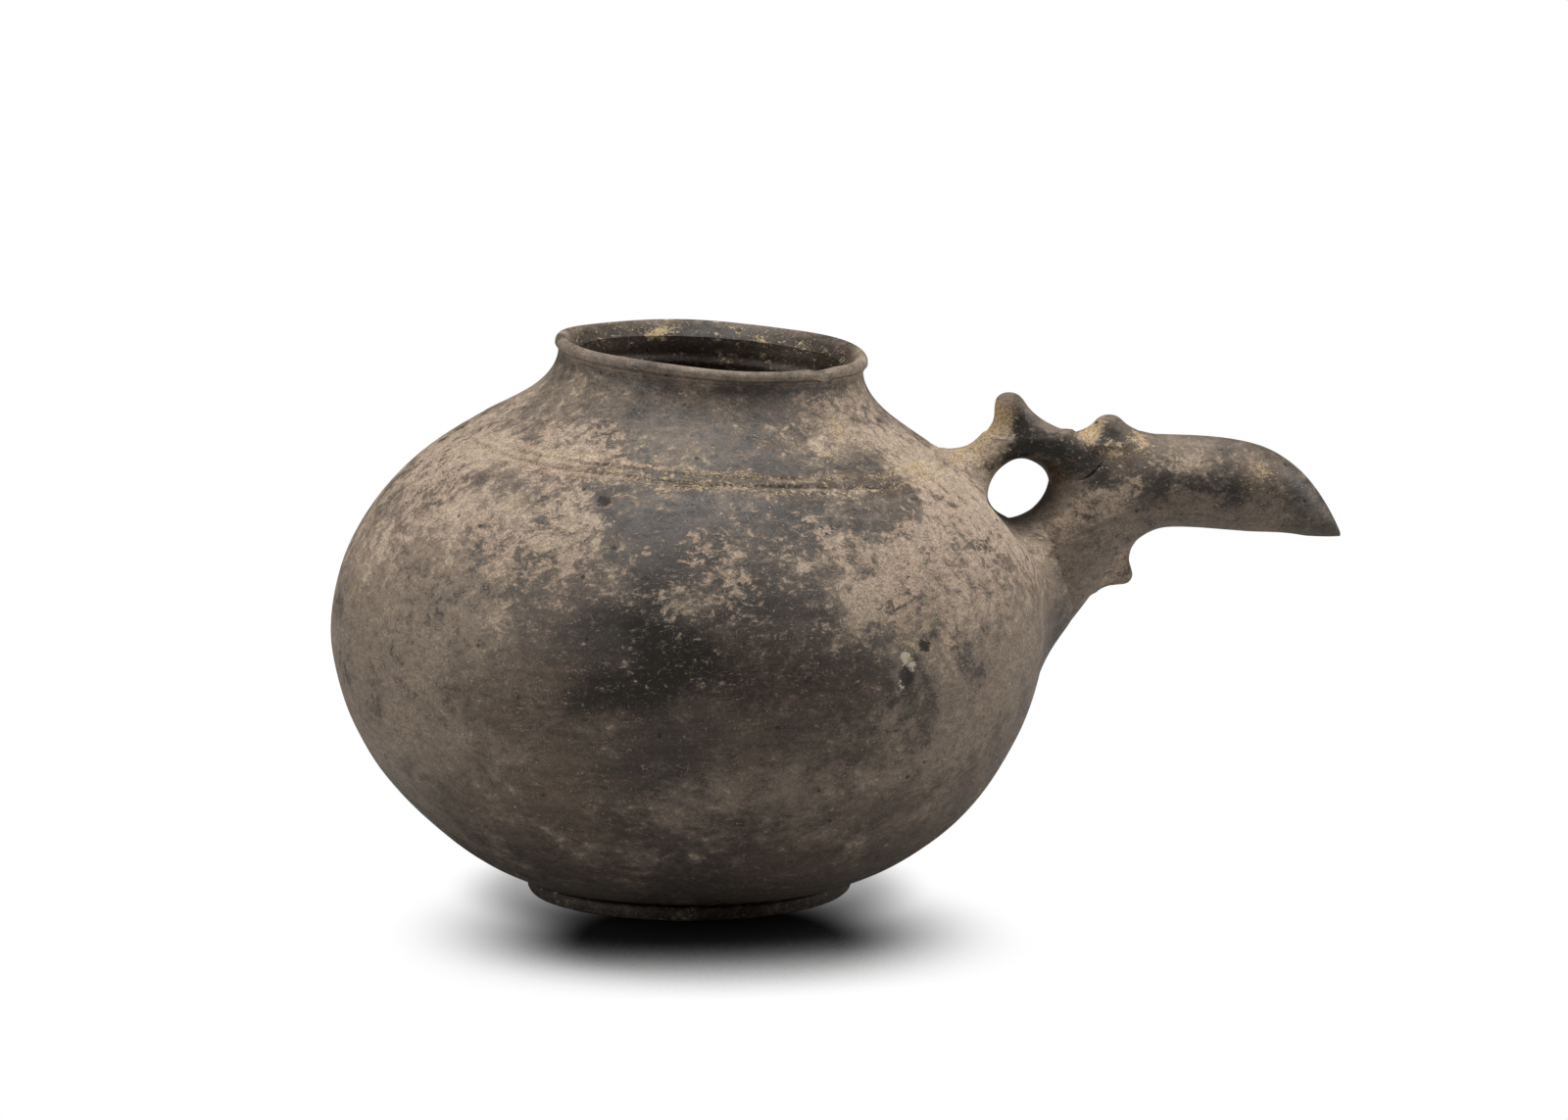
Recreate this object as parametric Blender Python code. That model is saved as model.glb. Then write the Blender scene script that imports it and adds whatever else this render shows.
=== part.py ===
"""Spouted pitcher: a globular grey-ware pot with a bridged, beak-shaped spout.

The pot is built up as a potter builds it. A bowl is set on a foot disc, a domed
shoulder closes over it, and a conical collar and a rolled lip finish the mouth.
The spout is a throat tube and a beak, luted over a bore in the shoulder. A strap
bridges from the shoulder to the throat and carries two horns, and a wattle hangs
below. Luted members keep a slip-filled gap between them.

Metres, +Z up, spout towards +X, origin at the centre of the foot on the ground.
"""
import math

import bmesh
import bpy
import numpy as np

# Body, turned about the pot's axis
FOOT_RADIUS = 0.0482
FOOT_HEIGHT = 0.0042
FOOT_CHAMFER = 0.0010
BASE_RADIUS = 0.0478
BELLY_RADIUS = 0.1059
BELLY_HEIGHT = 0.0785
GROOVE_RADIUS = 0.0691
GROOVE_HEIGHT = 0.1361
NECK_RADIUS = 0.0455
NECK_HEIGHT = 0.1592
RIM_RADIUS = 0.0464
RIM_HEIGHT = 0.0046
RIM_EDGE = 0.0014
RIM_ROLL_ANGLE = math.radians(130.0)
WALL = 0.0060

# Slopes of the turned outline, and how far each end pulls its curve, as a share of the chord
BASE_ANGLE = math.radians(15.5)
GROOVE_ANGLE = math.radians(35.9)
BOWL_PULLS = (0.42, 0.26)
SHOULDER_PULLS = (0.537, 0.118)
COLLAR_PULLS = (0.197, 0.343)

# The shoulder leans towards the spout, and the bowl sways a little on its foot
LEAN_ANGLE = math.radians(4.0)
SHOULDER_SHIFT = 0.0013
BOWL_SWAY = 0.0016
SWAY_HEIGHT = 0.0462

# Seams between the turned members, and the two incised lines round the shoulder
SEAM_HEIGHT = 0.0472
SEAM_SCARF = 0.0040
COLLAR_STEP = 0.0030
GROOVE_SPACING = 0.0034
GROOVE_WIDTH = 0.0016
GROOVE_DEPTH = 0.0007
SLIP_GAP = 0.0003

# Spout: a throat that rises out of the shoulder, a bend, and a beak that runs to a blunt tip
SPOUT_ROOT_HEIGHT = 0.0860
THROAT_ANGLE = math.radians(47.0)
THROAT_RADIUS = 0.0162
THROAT_HALF_WIDTH = 0.0150
BEND_REACH = 0.0404
BEND_RISE = 0.0318
BEND_ANGLE = math.radians(10.5)
BEND_RADIUS = 0.0147
BEND_HALF_WIDTH = 0.0142
BEAK_REACH = 0.0558
BEAK_DROP = 0.0180
BEAK_CREST_ANGLE = math.radians(4.0)
TIP_ANGLE = math.radians(66.0)
TIP_RADIUS = 0.0010
TIP_HALF_WIDTH = 0.0020
SPOUT_WALL = 0.0045
SPOUT_LAP = 0.0040
KEEL_SQUARENESS = 0.75
SQUARE_SHARE = 0.40
BEAK_ROUNDING_POWER = 0.75
THROAT_CREST_PULLS = (0.49, 0.36)
THROAT_KEEL_PULLS = (0.43, 0.29)
BEAK_CREST_PULLS = (0.43, 0.50)
BEAK_KEEL_PULLS = (0.30, 0.26)

# Stations along the spout: 0 at the root, 1 at the bend, 2 at the tip
JOINT_STATION = 0.88
BORE_END_STATION = 1.84
MOUTH_STATIONS = (1.36, 1.80)
MOUTH_WIDTH = 0.0110
MOUTH_END_SHARE = 0.35
WATTLE_STATION = 0.45
FRONT_HORN_STATION = 0.78

# Luting coil that fairs the throat into the shoulder
COIL_SPREAD_UP = 0.0040
COIL_SPREAD_DOWN = 0.0110
COIL_SPREAD_SIDE = 0.0200
COIL_CLIMB = 0.0075
COIL_KEEL_STATION = 0.13
COIL_EDGE = 0.0008

# Bridge strap over the eye
EYE_WIDTH = 0.0101
STRAP_FOOT_DEPTH = 0.0203
STRAP_FOOT_HALF_WIDTH = 0.0100
STRAP_HALF_WIDTH = 0.0068
STRAP_CREST_LEAVE_ANGLE = math.radians(30.0)
STRAP_SOFFIT_LEAVE_ANGLE = math.radians(62.0)
STRAP_CREST_ARRIVE_ANGLE = math.radians(20.0)
STRAP_SOFFIT_ARRIVE_ANGLE = math.radians(50.0)
STRAP_CREST_STATION = 0.78
STRAP_SOFFIT_STATION = 0.44
STRAP_CREST_PULLS = (0.46, 0.42)
STRAP_SOFFIT_PULLS = (0.67, 0.72)

# Horns on the crest, and the wattle under the throat
REAR_HORN_PLACE = 0.545
REAR_HORN_SINK = 0.0016
REAR_HORN_HEIGHT = 0.0131
REAR_HORN_LENGTH = 0.0268
REAR_HORN_TOP_LENGTH = 0.0098
REAR_HORN_WIDTH = 0.0124
REAR_HORN_TOP_WIDTH = 0.0088
REAR_HORN_SET_BACK = 0.0065
REAR_HORN_POWER = 2.6
FRONT_HORN_HEIGHT = 0.0076
FRONT_HORN_LENGTH = 0.0220
FRONT_HORN_TOP_LENGTH = 0.0080
FRONT_HORN_WIDTH = 0.0150
FRONT_HORN_TOP_WIDTH = 0.0070
FRONT_HORN_POWER = 1.6
WATTLE_ANGLE = math.radians(36.0)
WATTLE_LENGTH = 0.0078
WATTLE_HEIGHT = 0.0175
WATTLE_TOP_HEIGHT = 0.0058
WATTLE_WIDTH = 0.0100
WATTLE_TOP_WIDTH = 0.0050
WATTLE_POWER = 1.6
PEAK_BLUNTNESS = 0.93
SEAT_DEPTH = 0.0040

# Fineness of the facets
TURN_STEPS = 48
ROW_PITCH = 0.0085
SPOUT_SIDES = 28
COIL_SIDES = 36
COIL_ROWS = 8
STRAP_SIDES = 18
STRAP_ROWS = 13
HORN_SIDES = 16
HORN_ROWS = 7
THROAT_ROWS = 9
BEAK_ROWS = 11
MOUTH_ROWS = 13
SHARP_ANGLE = math.radians(38.0)


def bezier(start, start_pull, end_pull, end, t):
    """Points of a cubic curve from its four controls, at the shares t."""
    t = np.asarray(t, dtype=float)[..., None]
    u = 1.0 - t
    return (u**3 * start + 3 * u * u * t * start_pull + 3 * u * t * t * end_pull + t**3 * end)


def pulled(start, start_angle, end, end_angle, pulls):
    """Inner controls of a curve that leaves and arrives at the given angles."""
    start, end = np.array(start, dtype=float), np.array(end, dtype=float)
    chord = np.linalg.norm(end - start)
    leave = np.array((math.cos(start_angle), math.sin(start_angle)))
    arrive = np.array((math.cos(end_angle), math.sin(end_angle)))
    return start, start + leave * chord * pulls[0], end - arrive * chord * pulls[1], end


def smooth(x):
    """Smooth step from 0 to 1."""
    x = np.clip(x, 0.0, 1.0)
    return x * x * (3.0 - 2.0 * x)


# The turned outline as one line of (radius, height), with arc length and outward normals
BASE_POINT = (BASE_RADIUS, FOOT_HEIGHT + SLIP_GAP)
BELLY_POINT = (BELLY_RADIUS, BELLY_HEIGHT)
GROOVE_POINT = (GROOVE_RADIUS, GROOVE_HEIGHT)
NECK_POINT = (NECK_RADIUS, NECK_HEIGHT)
UPRIGHT_ANGLE = math.radians(90.0)
INWARD_ANGLE = math.radians(180.0) - GROOVE_ANGLE
SHARES = np.linspace(0.0, 1.0, 161)
OUTLINE = np.concatenate([
    bezier(*pulled(BASE_POINT, BASE_ANGLE, BELLY_POINT, UPRIGHT_ANGLE, BOWL_PULLS), SHARES)[:-1],
    bezier(*pulled(BELLY_POINT, UPRIGHT_ANGLE, GROOVE_POINT, INWARD_ANGLE, SHOULDER_PULLS), SHARES)[:-1],
    bezier(*pulled(GROOVE_POINT, INWARD_ANGLE, NECK_POINT, UPRIGHT_ANGLE, COLLAR_PULLS), SHARES),
])
STEPS = np.linalg.norm(np.diff(OUTLINE, axis=0), axis=1)
ARC = np.concatenate([[0.0], np.cumsum(STEPS)])
TANGENT = np.gradient(OUTLINE, ARC, axis=0)
TANGENT /= np.linalg.norm(TANGENT, axis=1)[:, None]
ARC_SEAM = float(np.interp(SEAM_HEIGHT, OUTLINE[:, 1], ARC))
ARC_GROOVE = float(np.interp(GROOVE_HEIGHT, OUTLINE[:, 1], ARC))
ARC_COLLAR = ARC_GROOVE + COLLAR_STEP
ARC_NECK = float(ARC[-1])


def wall_point(arc, depth):
    """Radius and height of the wall at an arc length, sunk inwards by depth."""
    point = np.array([np.interp(arc, ARC, OUTLINE[:, 0]), np.interp(arc, ARC, OUTLINE[:, 1])])
    tangent = np.array([np.interp(arc, ARC, TANGENT[:, 0]), np.interp(arc, ARC, TANGENT[:, 1])])
    outward = np.array([tangent[1], -tangent[0]]) / np.linalg.norm(tangent)
    return point - outward * depth


def leaned(points):
    """Sway the bowl and tip the shoulder and neck towards the spout.

    The sway is a hump t (1 - t)^2 of height 1, which peaks a third of the way up.
    """
    points = np.array(points, dtype=float)
    x, height = points[..., 0].copy(), points[..., 2].copy()
    share = np.clip((height - FOOT_HEIGHT) / (SWAY_HEIGHT - FOOT_HEIGHT), 0.0, 1.0)
    sway = BOWL_SWAY * 27.0 / 4.0 * share * (1.0 - share) ** 2
    weight = smooth((height - BELLY_HEIGHT) / (GROOVE_HEIGHT - BELLY_HEIGHT))
    angle = LEAN_ANGLE * weight
    above = height - BELLY_HEIGHT
    points[..., 0] = x * np.cos(angle) + above * np.sin(angle) + SHOULDER_SHIFT * weight + sway
    points[..., 2] = BELLY_HEIGHT + above * np.cos(angle) - x * np.sin(angle)
    return points


def body_point(arc, turn, lift=0.0):
    """Point of the leaned body at an arc length and a turn about the axis, lifted off the wall."""
    radius, height = wall_point(arc, -lift)
    return leaned((radius * math.cos(turn), radius * math.sin(turn), height))


def rows(start, end):
    """Evenly spaced arc lengths from start to end, about a row pitch apart."""
    count = max(2, math.ceil(abs(end - start) / ROW_PITCH) + 1)
    return list(np.linspace(start, end, count))


def new_object(name, bm):
    """Link a closed bmesh as a named object with smooth shading."""
    bmesh.ops.recalc_face_normals(bm, faces=bm.faces)
    mesh = bpy.data.meshes.new(name)
    bm.to_mesh(mesh)
    bm.free()
    mesh.shade_smooth()
    mesh.set_sharp_from_angle(angle=SHARP_ANGLE)
    obj = bpy.data.objects.new(name, mesh)
    bpy.context.collection.objects.link(obj)
    return obj


def turned(name, loop):
    """Spin a closed loop of (radius, height) about the pot's axis and lean it."""
    bm = bmesh.new()
    verts = [bm.verts.new((radius, 0.0, height)) for radius, height in loop]
    edges = [bm.edges.new((verts[i - 1], verts[i])) for i in range(len(verts))]
    bmesh.ops.spin(bm, geom=verts + edges, axis=(0, 0, 1), cent=(0, 0, 0),
                   angle=2.0 * math.pi, steps=TURN_STEPS, use_merge=True)
    bmesh.ops.remove_doubles(bm, verts=bm.verts, dist=1e-6)
    bmesh.ops.dissolve_degenerate(bm, edges=bm.edges, dist=1e-6)
    on_axis = [edge for edge in bm.edges if not edge.link_faces]  # a loop's edge on the axis spins into no face
    bmesh.ops.delete(bm, geom=on_axis, context="EDGES")
    for vert in bm.verts:
        vert.co = leaned(vert.co)
    return new_object(name, bm)


def lofted(name, rings, capped=True):
    """Skin a list of rings of points; the ends are capped, or joined to each other."""
    bm = bmesh.new()
    loops = [[bm.verts.new(point) for point in ring] for ring in rings]
    pairs = list(zip(loops, loops[1:]))
    if not capped:
        pairs.append((loops[-1], loops[0]))
    for lower, upper in pairs:
        for i in range(len(lower)):
            bm.faces.new((lower[i - 1], lower[i], upper[i], upper[i - 1]))
    if capped:
        for loop in (loops[0], loops[-1]):
            middle = bm.verts.new(sum((np.array(v.co) for v in loop), np.zeros(3)) / len(loop))
            for i in range(len(loop)):
                bm.faces.new((loop[i - 1], loop[i], middle))
    return new_object(name, bm)


def cutter(obj):
    """Keep an object as a guide for cuts only."""
    obj.hide_render = True
    obj.display_type = 'WIRE'
    return obj


def cut(obj, *tools):
    """Subtract each tool from the object."""
    for tool in tools:
        boolean = obj.modifiers.new("cut_" + tool.name, 'BOOLEAN')
        boolean.operation = 'DIFFERENCE'
        boolean.object = tool
    return obj


# Spout guide lines: the crest and the keel in the XZ plane
ARC_ROOT = float(np.interp(SPOUT_ROOT_HEIGHT, OUTLINE[:, 1], ARC))
ROOT = body_point(ARC_ROOT, 0.0, -WALL / 2)[[0, 2]]
BEND = ROOT + (BEND_REACH, BEND_RISE)
TIP = BEND + (BEAK_REACH, -BEAK_DROP)
ROOT_UP = np.array((-math.sin(THROAT_ANGLE), math.cos(THROAT_ANGLE)))
BEND_UP = np.array((-math.sin(BEND_ANGLE), math.cos(BEND_ANGLE)))
TIP_UP = np.array((0.0, 1.0))
CREST = (
    pulled(ROOT + ROOT_UP * THROAT_RADIUS, THROAT_ANGLE,
           BEND + BEND_UP * BEND_RADIUS, -BEAK_CREST_ANGLE, THROAT_CREST_PULLS),
    pulled(BEND + BEND_UP * BEND_RADIUS, -BEAK_CREST_ANGLE,
           TIP + TIP_UP * TIP_RADIUS, -TIP_ANGLE, BEAK_CREST_PULLS),
)
KEEL = (
    pulled(ROOT - ROOT_UP * THROAT_RADIUS, THROAT_ANGLE,
           BEND - BEND_UP * BEND_RADIUS, 0.0, THROAT_KEEL_PULLS),
    pulled(BEND - BEND_UP * BEND_RADIUS, 0.0,
           TIP - TIP_UP * TIP_RADIUS, 0.0, BEAK_KEEL_PULLS),
)
ROOT_EMBED = THROAT_RADIUS * math.tan(THROAT_ANGLE) + 2.0 * WALL


def line_point(line, station):
    """Point of a guide line; before the root it runs on straight into the vessel."""
    if station < 0.0:
        along = np.array((math.cos(THROAT_ANGLE), math.sin(THROAT_ANGLE)))
        return line[0][0] + along * ROOT_EMBED * station
    part = 1 if station > 1.0 else 0
    return bezier(*line[part], station - part)


def half_width(station):
    """Half the spout's width across: even along the throat, rounding in to the tip."""
    if station <= 1.0:
        share = max(station, 0.0)
        return THROAT_HALF_WIDTH + (BEND_HALF_WIDTH - THROAT_HALF_WIDTH) * share
    share = station - 1.0
    return TIP_HALF_WIDTH + (BEND_HALF_WIDTH - TIP_HALF_WIDTH) * (1.0 - share * share) ** BEAK_ROUNDING_POWER


def spout_point(station, turn, grow):
    """Point round the spout: turn 0 is the +Y side, a quarter turn is the crest."""
    crest, keel = line_point(CREST, station), line_point(KEEL, station)
    centre, half = (crest + keel) / 2, (crest - keel) / 2
    height = np.linalg.norm(half)
    across, up = math.cos(turn), math.sin(turn)
    if up < 0.0:
        power = 1.0 - (1.0 - KEEL_SQUARENESS) * float(smooth((station - 1.0) / SQUARE_SHARE))
        across = math.copysign(abs(across) ** power, across)
    place = centre + half / height * (height + grow) * up
    return np.array((place[0], (half_width(station) + grow) * across, place[1]))


def turns(count):
    """Evenly spaced turns round a ring."""
    return [2.0 * math.pi * i / count for i in range(count)]


def spout_ring(station, grow):
    """Ring of points round the spout, grown outwards or shrunk inwards."""
    return [spout_point(station, turn, grow) for turn in turns(SPOUT_SIDES)]


def station_step(station, length):
    """Change of station that covers a length along the spout."""
    delta = 0.01
    before = (line_point(CREST, station) + line_point(KEEL, station)) / 2
    after = (line_point(CREST, station + delta) + line_point(KEEL, station + delta)) / 2
    return length * delta / np.linalg.norm(after - before)


THROAT_STATIONS = [-1.0] + list(np.linspace(0.0, JOINT_STATION, THROAT_ROWS))
LAP_STATION = JOINT_STATION + station_step(JOINT_STATION, SPOUT_LAP)
SLIP_STEP = station_step(JOINT_STATION, SLIP_GAP)
BEAK_ROOT_STATIONS = [JOINT_STATION + SLIP_STEP, (JOINT_STATION + SLIP_STEP + 1.0) / 2]
BEAK_STATIONS = BEAK_ROOT_STATIONS + list(np.linspace(1.0, 2.0, BEAK_ROWS))
BORE_STATIONS = list(np.linspace(LAP_STATION + SLIP_STEP, BORE_END_STATION, THROAT_ROWS))


# Cutters shared by the members
def body_cutter():
    """The outside of the whole body, grown by the slip gap and closed at both ends."""
    arcs = rows(0.0, ARC_SEAM) + rows(ARC_SEAM, ARC_COLLAR)[1:] + rows(ARC_COLLAR, ARC_NECK)[1:]
    loop = [tuple(wall_point(arc, -SLIP_GAP)) for arc in arcs]
    loop = [(0.0, loop[0][1])] + loop + [(0.0, loop[-1][1])]
    return cutter(turned("body_cutter", loop))


def spout_cutter():
    """The outside of the whole spout, grown by the slip gap."""
    stations = THROAT_STATIONS + BEAK_STATIONS
    return cutter(lofted("spout_cutter", [spout_ring(station, SLIP_GAP) for station in stations]))


def bore_cutter():
    """The throat's bore, run on into the vessel through the shoulder wall."""
    rings = [spout_ring(station, -SPOUT_WALL) for station in THROAT_STATIONS]
    return cutter(lofted("bore_cutter", rings))


def strap_cutter():
    """The strap grown by the slip gap."""
    return cutter(lofted("strap_cutter", strap_rings(SLIP_GAP)))


# Turned members
def foot_disc():
    inner = FOOT_RADIUS - FOOT_CHAMFER
    return turned("foot_disc", [(0.0, 0.0), (inner, 0.0), (FOOT_RADIUS, FOOT_CHAMFER),
                                (FOOT_RADIUS, FOOT_HEIGHT), (0.0, FOOT_HEIGHT)])


def lower_bowl():
    end = ARC_SEAM - SLIP_GAP / 2
    outside = [tuple(wall_point(arc, 0.0)) for arc in rows(0.0, end)]
    inside = [tuple(wall_point(arc, WALL)) for arc in rows(end + SEAM_SCARF, 0.0)]
    return turned("lower_bowl", [(0.0, outside[0][1])] + outside + inside + [(0.0, inside[-1][1])])


def incised(arc):
    """Three points of an incised line centred at an arc length."""
    half = GROOVE_WIDTH / 2
    return [(arc - half, 0.0), (arc, GROOVE_DEPTH), (arc + half, 0.0)]


def shoulder_dome(bore):
    start, end = ARC_SEAM + SLIP_GAP / 2, ARC_COLLAR - SLIP_GAP / 2
    lines = incised(ARC_GROOVE - GROOVE_SPACING) + incised(ARC_GROOVE)
    plain = [(arc, 0.0) for arc in rows(start, lines[0][0])[:-1]]
    outside = [tuple(wall_point(arc, depth)) for arc, depth in plain + lines + [(end, 0.0)]]
    inside = [tuple(wall_point(arc, WALL)) for arc in rows(end, start + SEAM_SCARF)]
    return cut(turned("shoulder_dome", outside + inside), bore)


def neck_collar():
    start = ARC_COLLAR + SLIP_GAP / 2
    outside = [tuple(wall_point(arc, 0.0)) for arc in rows(start, ARC_NECK)]
    inside = [tuple(wall_point(arc, WALL)) for arc in rows(ARC_NECK, start)]
    return turned("neck_collar", outside + inside)


def rim_coil():
    seat = NECK_HEIGHT + SLIP_GAP
    radius, height = RIM_RADIUS - RIM_EDGE, seat + RIM_HEIGHT - RIM_EDGE
    lip = [(radius + RIM_EDGE * math.cos(a), height + RIM_EDGE * math.sin(a))
           for a in np.linspace(0.0, RIM_ROLL_ANGLE, 8)]
    return turned("rim_coil", [(NECK_RADIUS - WALL, seat), (NECK_RADIUS, seat)] + lip)


# Spout members
def spout_throat(body):
    lap = SPOUT_WALL / 2
    outside = [spout_ring(station, 0.0) for station in THROAT_STATIONS]
    spigot = [spout_ring(JOINT_STATION, -lap), spout_ring(LAP_STATION, -lap)]
    inside = [spout_ring(station, -SPOUT_WALL) for station in [LAP_STATION] + THROAT_STATIONS[::-1]]
    return cut(lofted("spout_throat", outside + spigot + inside, capped=False), body)


def spout_mouth():
    """A slot that opens the bore through the underside of the beak."""
    rings = []
    for share in np.linspace(0.0, 1.0, MOUTH_ROWS):
        station = MOUTH_STATIONS[0] + (MOUTH_STATIONS[1] - MOUTH_STATIONS[0]) * share
        crest, keel = line_point(CREST, station), line_point(KEEL, station)
        centre = (crest + keel) / 2
        below = keel - TIP_UP * SPOUT_WALL
        half = MOUTH_WIDTH / 2 * max(math.sqrt(max(math.sin(math.pi * share), 0.0)), MOUTH_END_SHARE)
        rings.append([(centre[0], half, centre[1]), (centre[0], -half, centre[1]),
                      (below[0], -half, below[1]), (below[0], half, below[1])])
    return cutter(lofted("mouth_cutter", rings))


def spout_beak(mouth):
    socket = SLIP_GAP - SPOUT_WALL / 2
    start, shoulder = JOINT_STATION + SLIP_STEP, LAP_STATION + SLIP_STEP
    bore = [spout_ring(station, -SPOUT_WALL) for station in BORE_STATIONS[::-1]]
    lap = [spout_ring(shoulder, socket), spout_ring(start, socket)]
    outside = [spout_ring(station, 0.0) for station in BEAK_STATIONS]
    return cut(lofted("spout_beak", bore + lap + outside), mouth)


def emergence(line):
    """Station and arc length at which a guide line comes out through the side of the body."""
    stations = np.linspace(-1.0, 1.0, 401)
    arcs = np.linspace(0.0, ARC_NECK, 1601)
    wall = np.array([body_point(arc, 0.0)[[0, 2]] for arc in arcs])
    tangent = np.gradient(wall, axis=0)
    outward = np.stack([tangent[:, 1], -tangent[:, 0]], axis=1)
    points = np.array([line_point(line, station) for station in stations])
    nearest = np.linalg.norm(points[:, None] - wall[None], axis=2).argmin(axis=1)
    outside = np.sum((points - wall[nearest]) * outward[nearest], axis=1) > 0.0
    first = len(stations) - int(np.argmin(outside[::-1]))
    return float(stations[first]), float(arcs[nearest[first]])


CREST_EXIT, ARC_CREST_EXIT = emergence(CREST)
ARC_KEEL_EXIT = emergence(KEEL)[1]
COIL_CREST_STATION = CREST_EXIT + station_step(CREST_EXIT, COIL_CLIMB)
REACH_UP = ARC_CREST_EXIT + COIL_SPREAD_UP - ARC_ROOT
REACH_DOWN = ARC_ROOT + COIL_SPREAD_DOWN - ARC_KEEL_EXIT


def coil_foot(turn, share, lift):
    """Point of the coil's oval footprint on the body, shrunk by share, lifted off the wall."""
    reach = REACH_UP if math.sin(turn) > 0.0 else REACH_DOWN
    side = (THROAT_HALF_WIDTH + COIL_SPREAD_SIDE) / BELLY_RADIUS
    return body_point(ARC_ROOT + share * reach * math.sin(turn), share * side * math.cos(turn), lift)


def coil_top(turn, beyond, grow):
    """Point of the coil's upper edge round the throat, moved on along the throat."""
    middle = (COIL_CREST_STATION + COIL_KEEL_STATION) / 2
    swing = (COIL_CREST_STATION - COIL_KEEL_STATION) / 2
    return spout_point(middle + swing * math.sin(turn) + beyond, turn, grow)


def coil_rings():
    """Rings from inside the wall, over the faired face, to inside the throat."""
    shares = np.linspace(0.0, 1.0, COIL_ROWS)
    delta = 0.05
    rings = [[coil_foot(turn, 1.0, -SEAT_DEPTH) for turn in turns(COIL_SIDES)]]
    faces = []
    for turn in turns(COIL_SIDES):
        foot, top = coil_foot(turn, 1.0, COIL_EDGE), coil_top(turn, 0.0, COIL_EDGE)
        length = np.linalg.norm(top - foot)
        leave = coil_foot(turn, 1.0 - delta, COIL_EDGE) - foot
        arrive = coil_top(turn, delta, COIL_EDGE) - top
        leave *= length / np.linalg.norm(leave)
        arrive *= length / np.linalg.norm(arrive)
        faces.append(bezier(foot, foot + leave / 3, top - arrive / 3, top, shares))
    rings += [[face[i] for face in faces] for i in range(len(shares))]
    rings.append([coil_top(turn, 0.0, -SPOUT_WALL) for turn in turns(COIL_SIDES)])
    return rings


def spout_luting_coil(body, spout):
    return cut(lofted("spout_luting_coil", coil_rings()), body, spout)


# Bridge, horns and wattle
ARC_STRAP = ARC_CREST_EXIT + COIL_SPREAD_UP + EYE_WIDTH + STRAP_FOOT_DEPTH / 2
STRAP_FOOT_TOP = body_point(ARC_STRAP + STRAP_FOOT_DEPTH / 2, 0.0, -SEAT_DEPTH)[[0, 2]]
STRAP_FOOT_LOW = body_point(ARC_STRAP - STRAP_FOOT_DEPTH / 2, 0.0, -SEAT_DEPTH)[[0, 2]]
STRAP_CREST = pulled(STRAP_FOOT_TOP, STRAP_CREST_LEAVE_ANGLE,
                     line_point(CREST, STRAP_CREST_STATION) - TIP_UP * SEAT_DEPTH / 2,
                     -STRAP_CREST_ARRIVE_ANGLE, STRAP_CREST_PULLS)
STRAP_SOFFIT = pulled(STRAP_FOOT_LOW, STRAP_SOFFIT_LEAVE_ANGLE,
                      line_point(CREST, STRAP_SOFFIT_STATION) - TIP_UP * SEAT_DEPTH,
                      -STRAP_SOFFIT_ARRIVE_ANGLE, STRAP_SOFFIT_PULLS)


def strap_rings(grow):
    """Oval rings from inside the shoulder, over the eye, to inside the throat."""
    rings = []
    for share in np.linspace(0.0, 1.0, STRAP_ROWS):
        crest, soffit = bezier(*STRAP_CREST, share), bezier(*STRAP_SOFFIT, share)
        centre, half = (crest + soffit) / 2, (crest - soffit) / 2
        half *= 1.0 + grow / np.linalg.norm(half)
        flare = abs(2.0 * share - 1.0) ** 3
        width = STRAP_HALF_WIDTH + (STRAP_FOOT_HALF_WIDTH - STRAP_HALF_WIDTH) * flare + grow
        ring = []
        for turn in turns(STRAP_SIDES):
            place = centre + half * math.sin(turn)
            ring.append(np.array((place[0], width * math.cos(turn), place[1])))
        rings.append(ring)
    return rings


def bridge_strap(body, spout):
    return cut(lofted("bridge_strap", strap_rings(0.0)), body, spout)


def oval(middle, along, half_length, half_width):
    """Ring of points: along one way, across the pot the other."""
    across = np.array((0.0, 1.0, 0.0))
    return [middle + along * half_length * math.cos(turn) + across * half_width * math.sin(turn)
            for turn in turns(HORN_SIDES)]


def peak(name, place, axis, along, foot, top, height, power, set_back=0.0, grow=0.0):
    """A pinched clay peak on a point of the XZ plane.

    Ovals draw in from the foot's length and width to the top's by (1 - h)^power, round
    off towards the top, and move back against the along direction as they rise.
    """
    seat = np.array((place[0], 0.0, place[1]))
    rings = [oval(seat - axis * SEAT_DEPTH, along, foot[0] / 2 + grow, foot[1] / 2 + grow)]
    for share in np.linspace(0.0, 1.0, HORN_ROWS):
        rounding = math.sqrt(1.0 - (PEAK_BLUNTNESS * share) ** 7)
        draw = (1.0 - share) ** power
        half_length = (top[0] + (foot[0] - top[0]) * draw) / 2 * rounding + grow
        half_wide = (top[1] + (foot[1] - top[1]) * draw) / 2 * rounding + grow
        middle = seat + axis * (height + grow) * share
        middle -= along * set_back * (1.0 - (1.0 - share) ** 2)
        rings.append(oval(middle, along, half_length, half_wide))
    return lofted(name, rings)


def rear_peak(name, grow):
    place = bezier(*STRAP_CREST, REAR_HORN_PLACE) - TIP_UP * REAR_HORN_SINK
    return peak(name, place, np.array((0.0, 0.0, 1.0)), np.array((1.0, 0.0, 0.0)),
                (REAR_HORN_LENGTH, REAR_HORN_WIDTH), (REAR_HORN_TOP_LENGTH, REAR_HORN_TOP_WIDTH),
                REAR_HORN_HEIGHT, REAR_HORN_POWER, REAR_HORN_SET_BACK, grow)


def rear_horn(body, spout, strap):
    return cut(rear_peak("rear_horn", 0.0), body, spout, strap)


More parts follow.
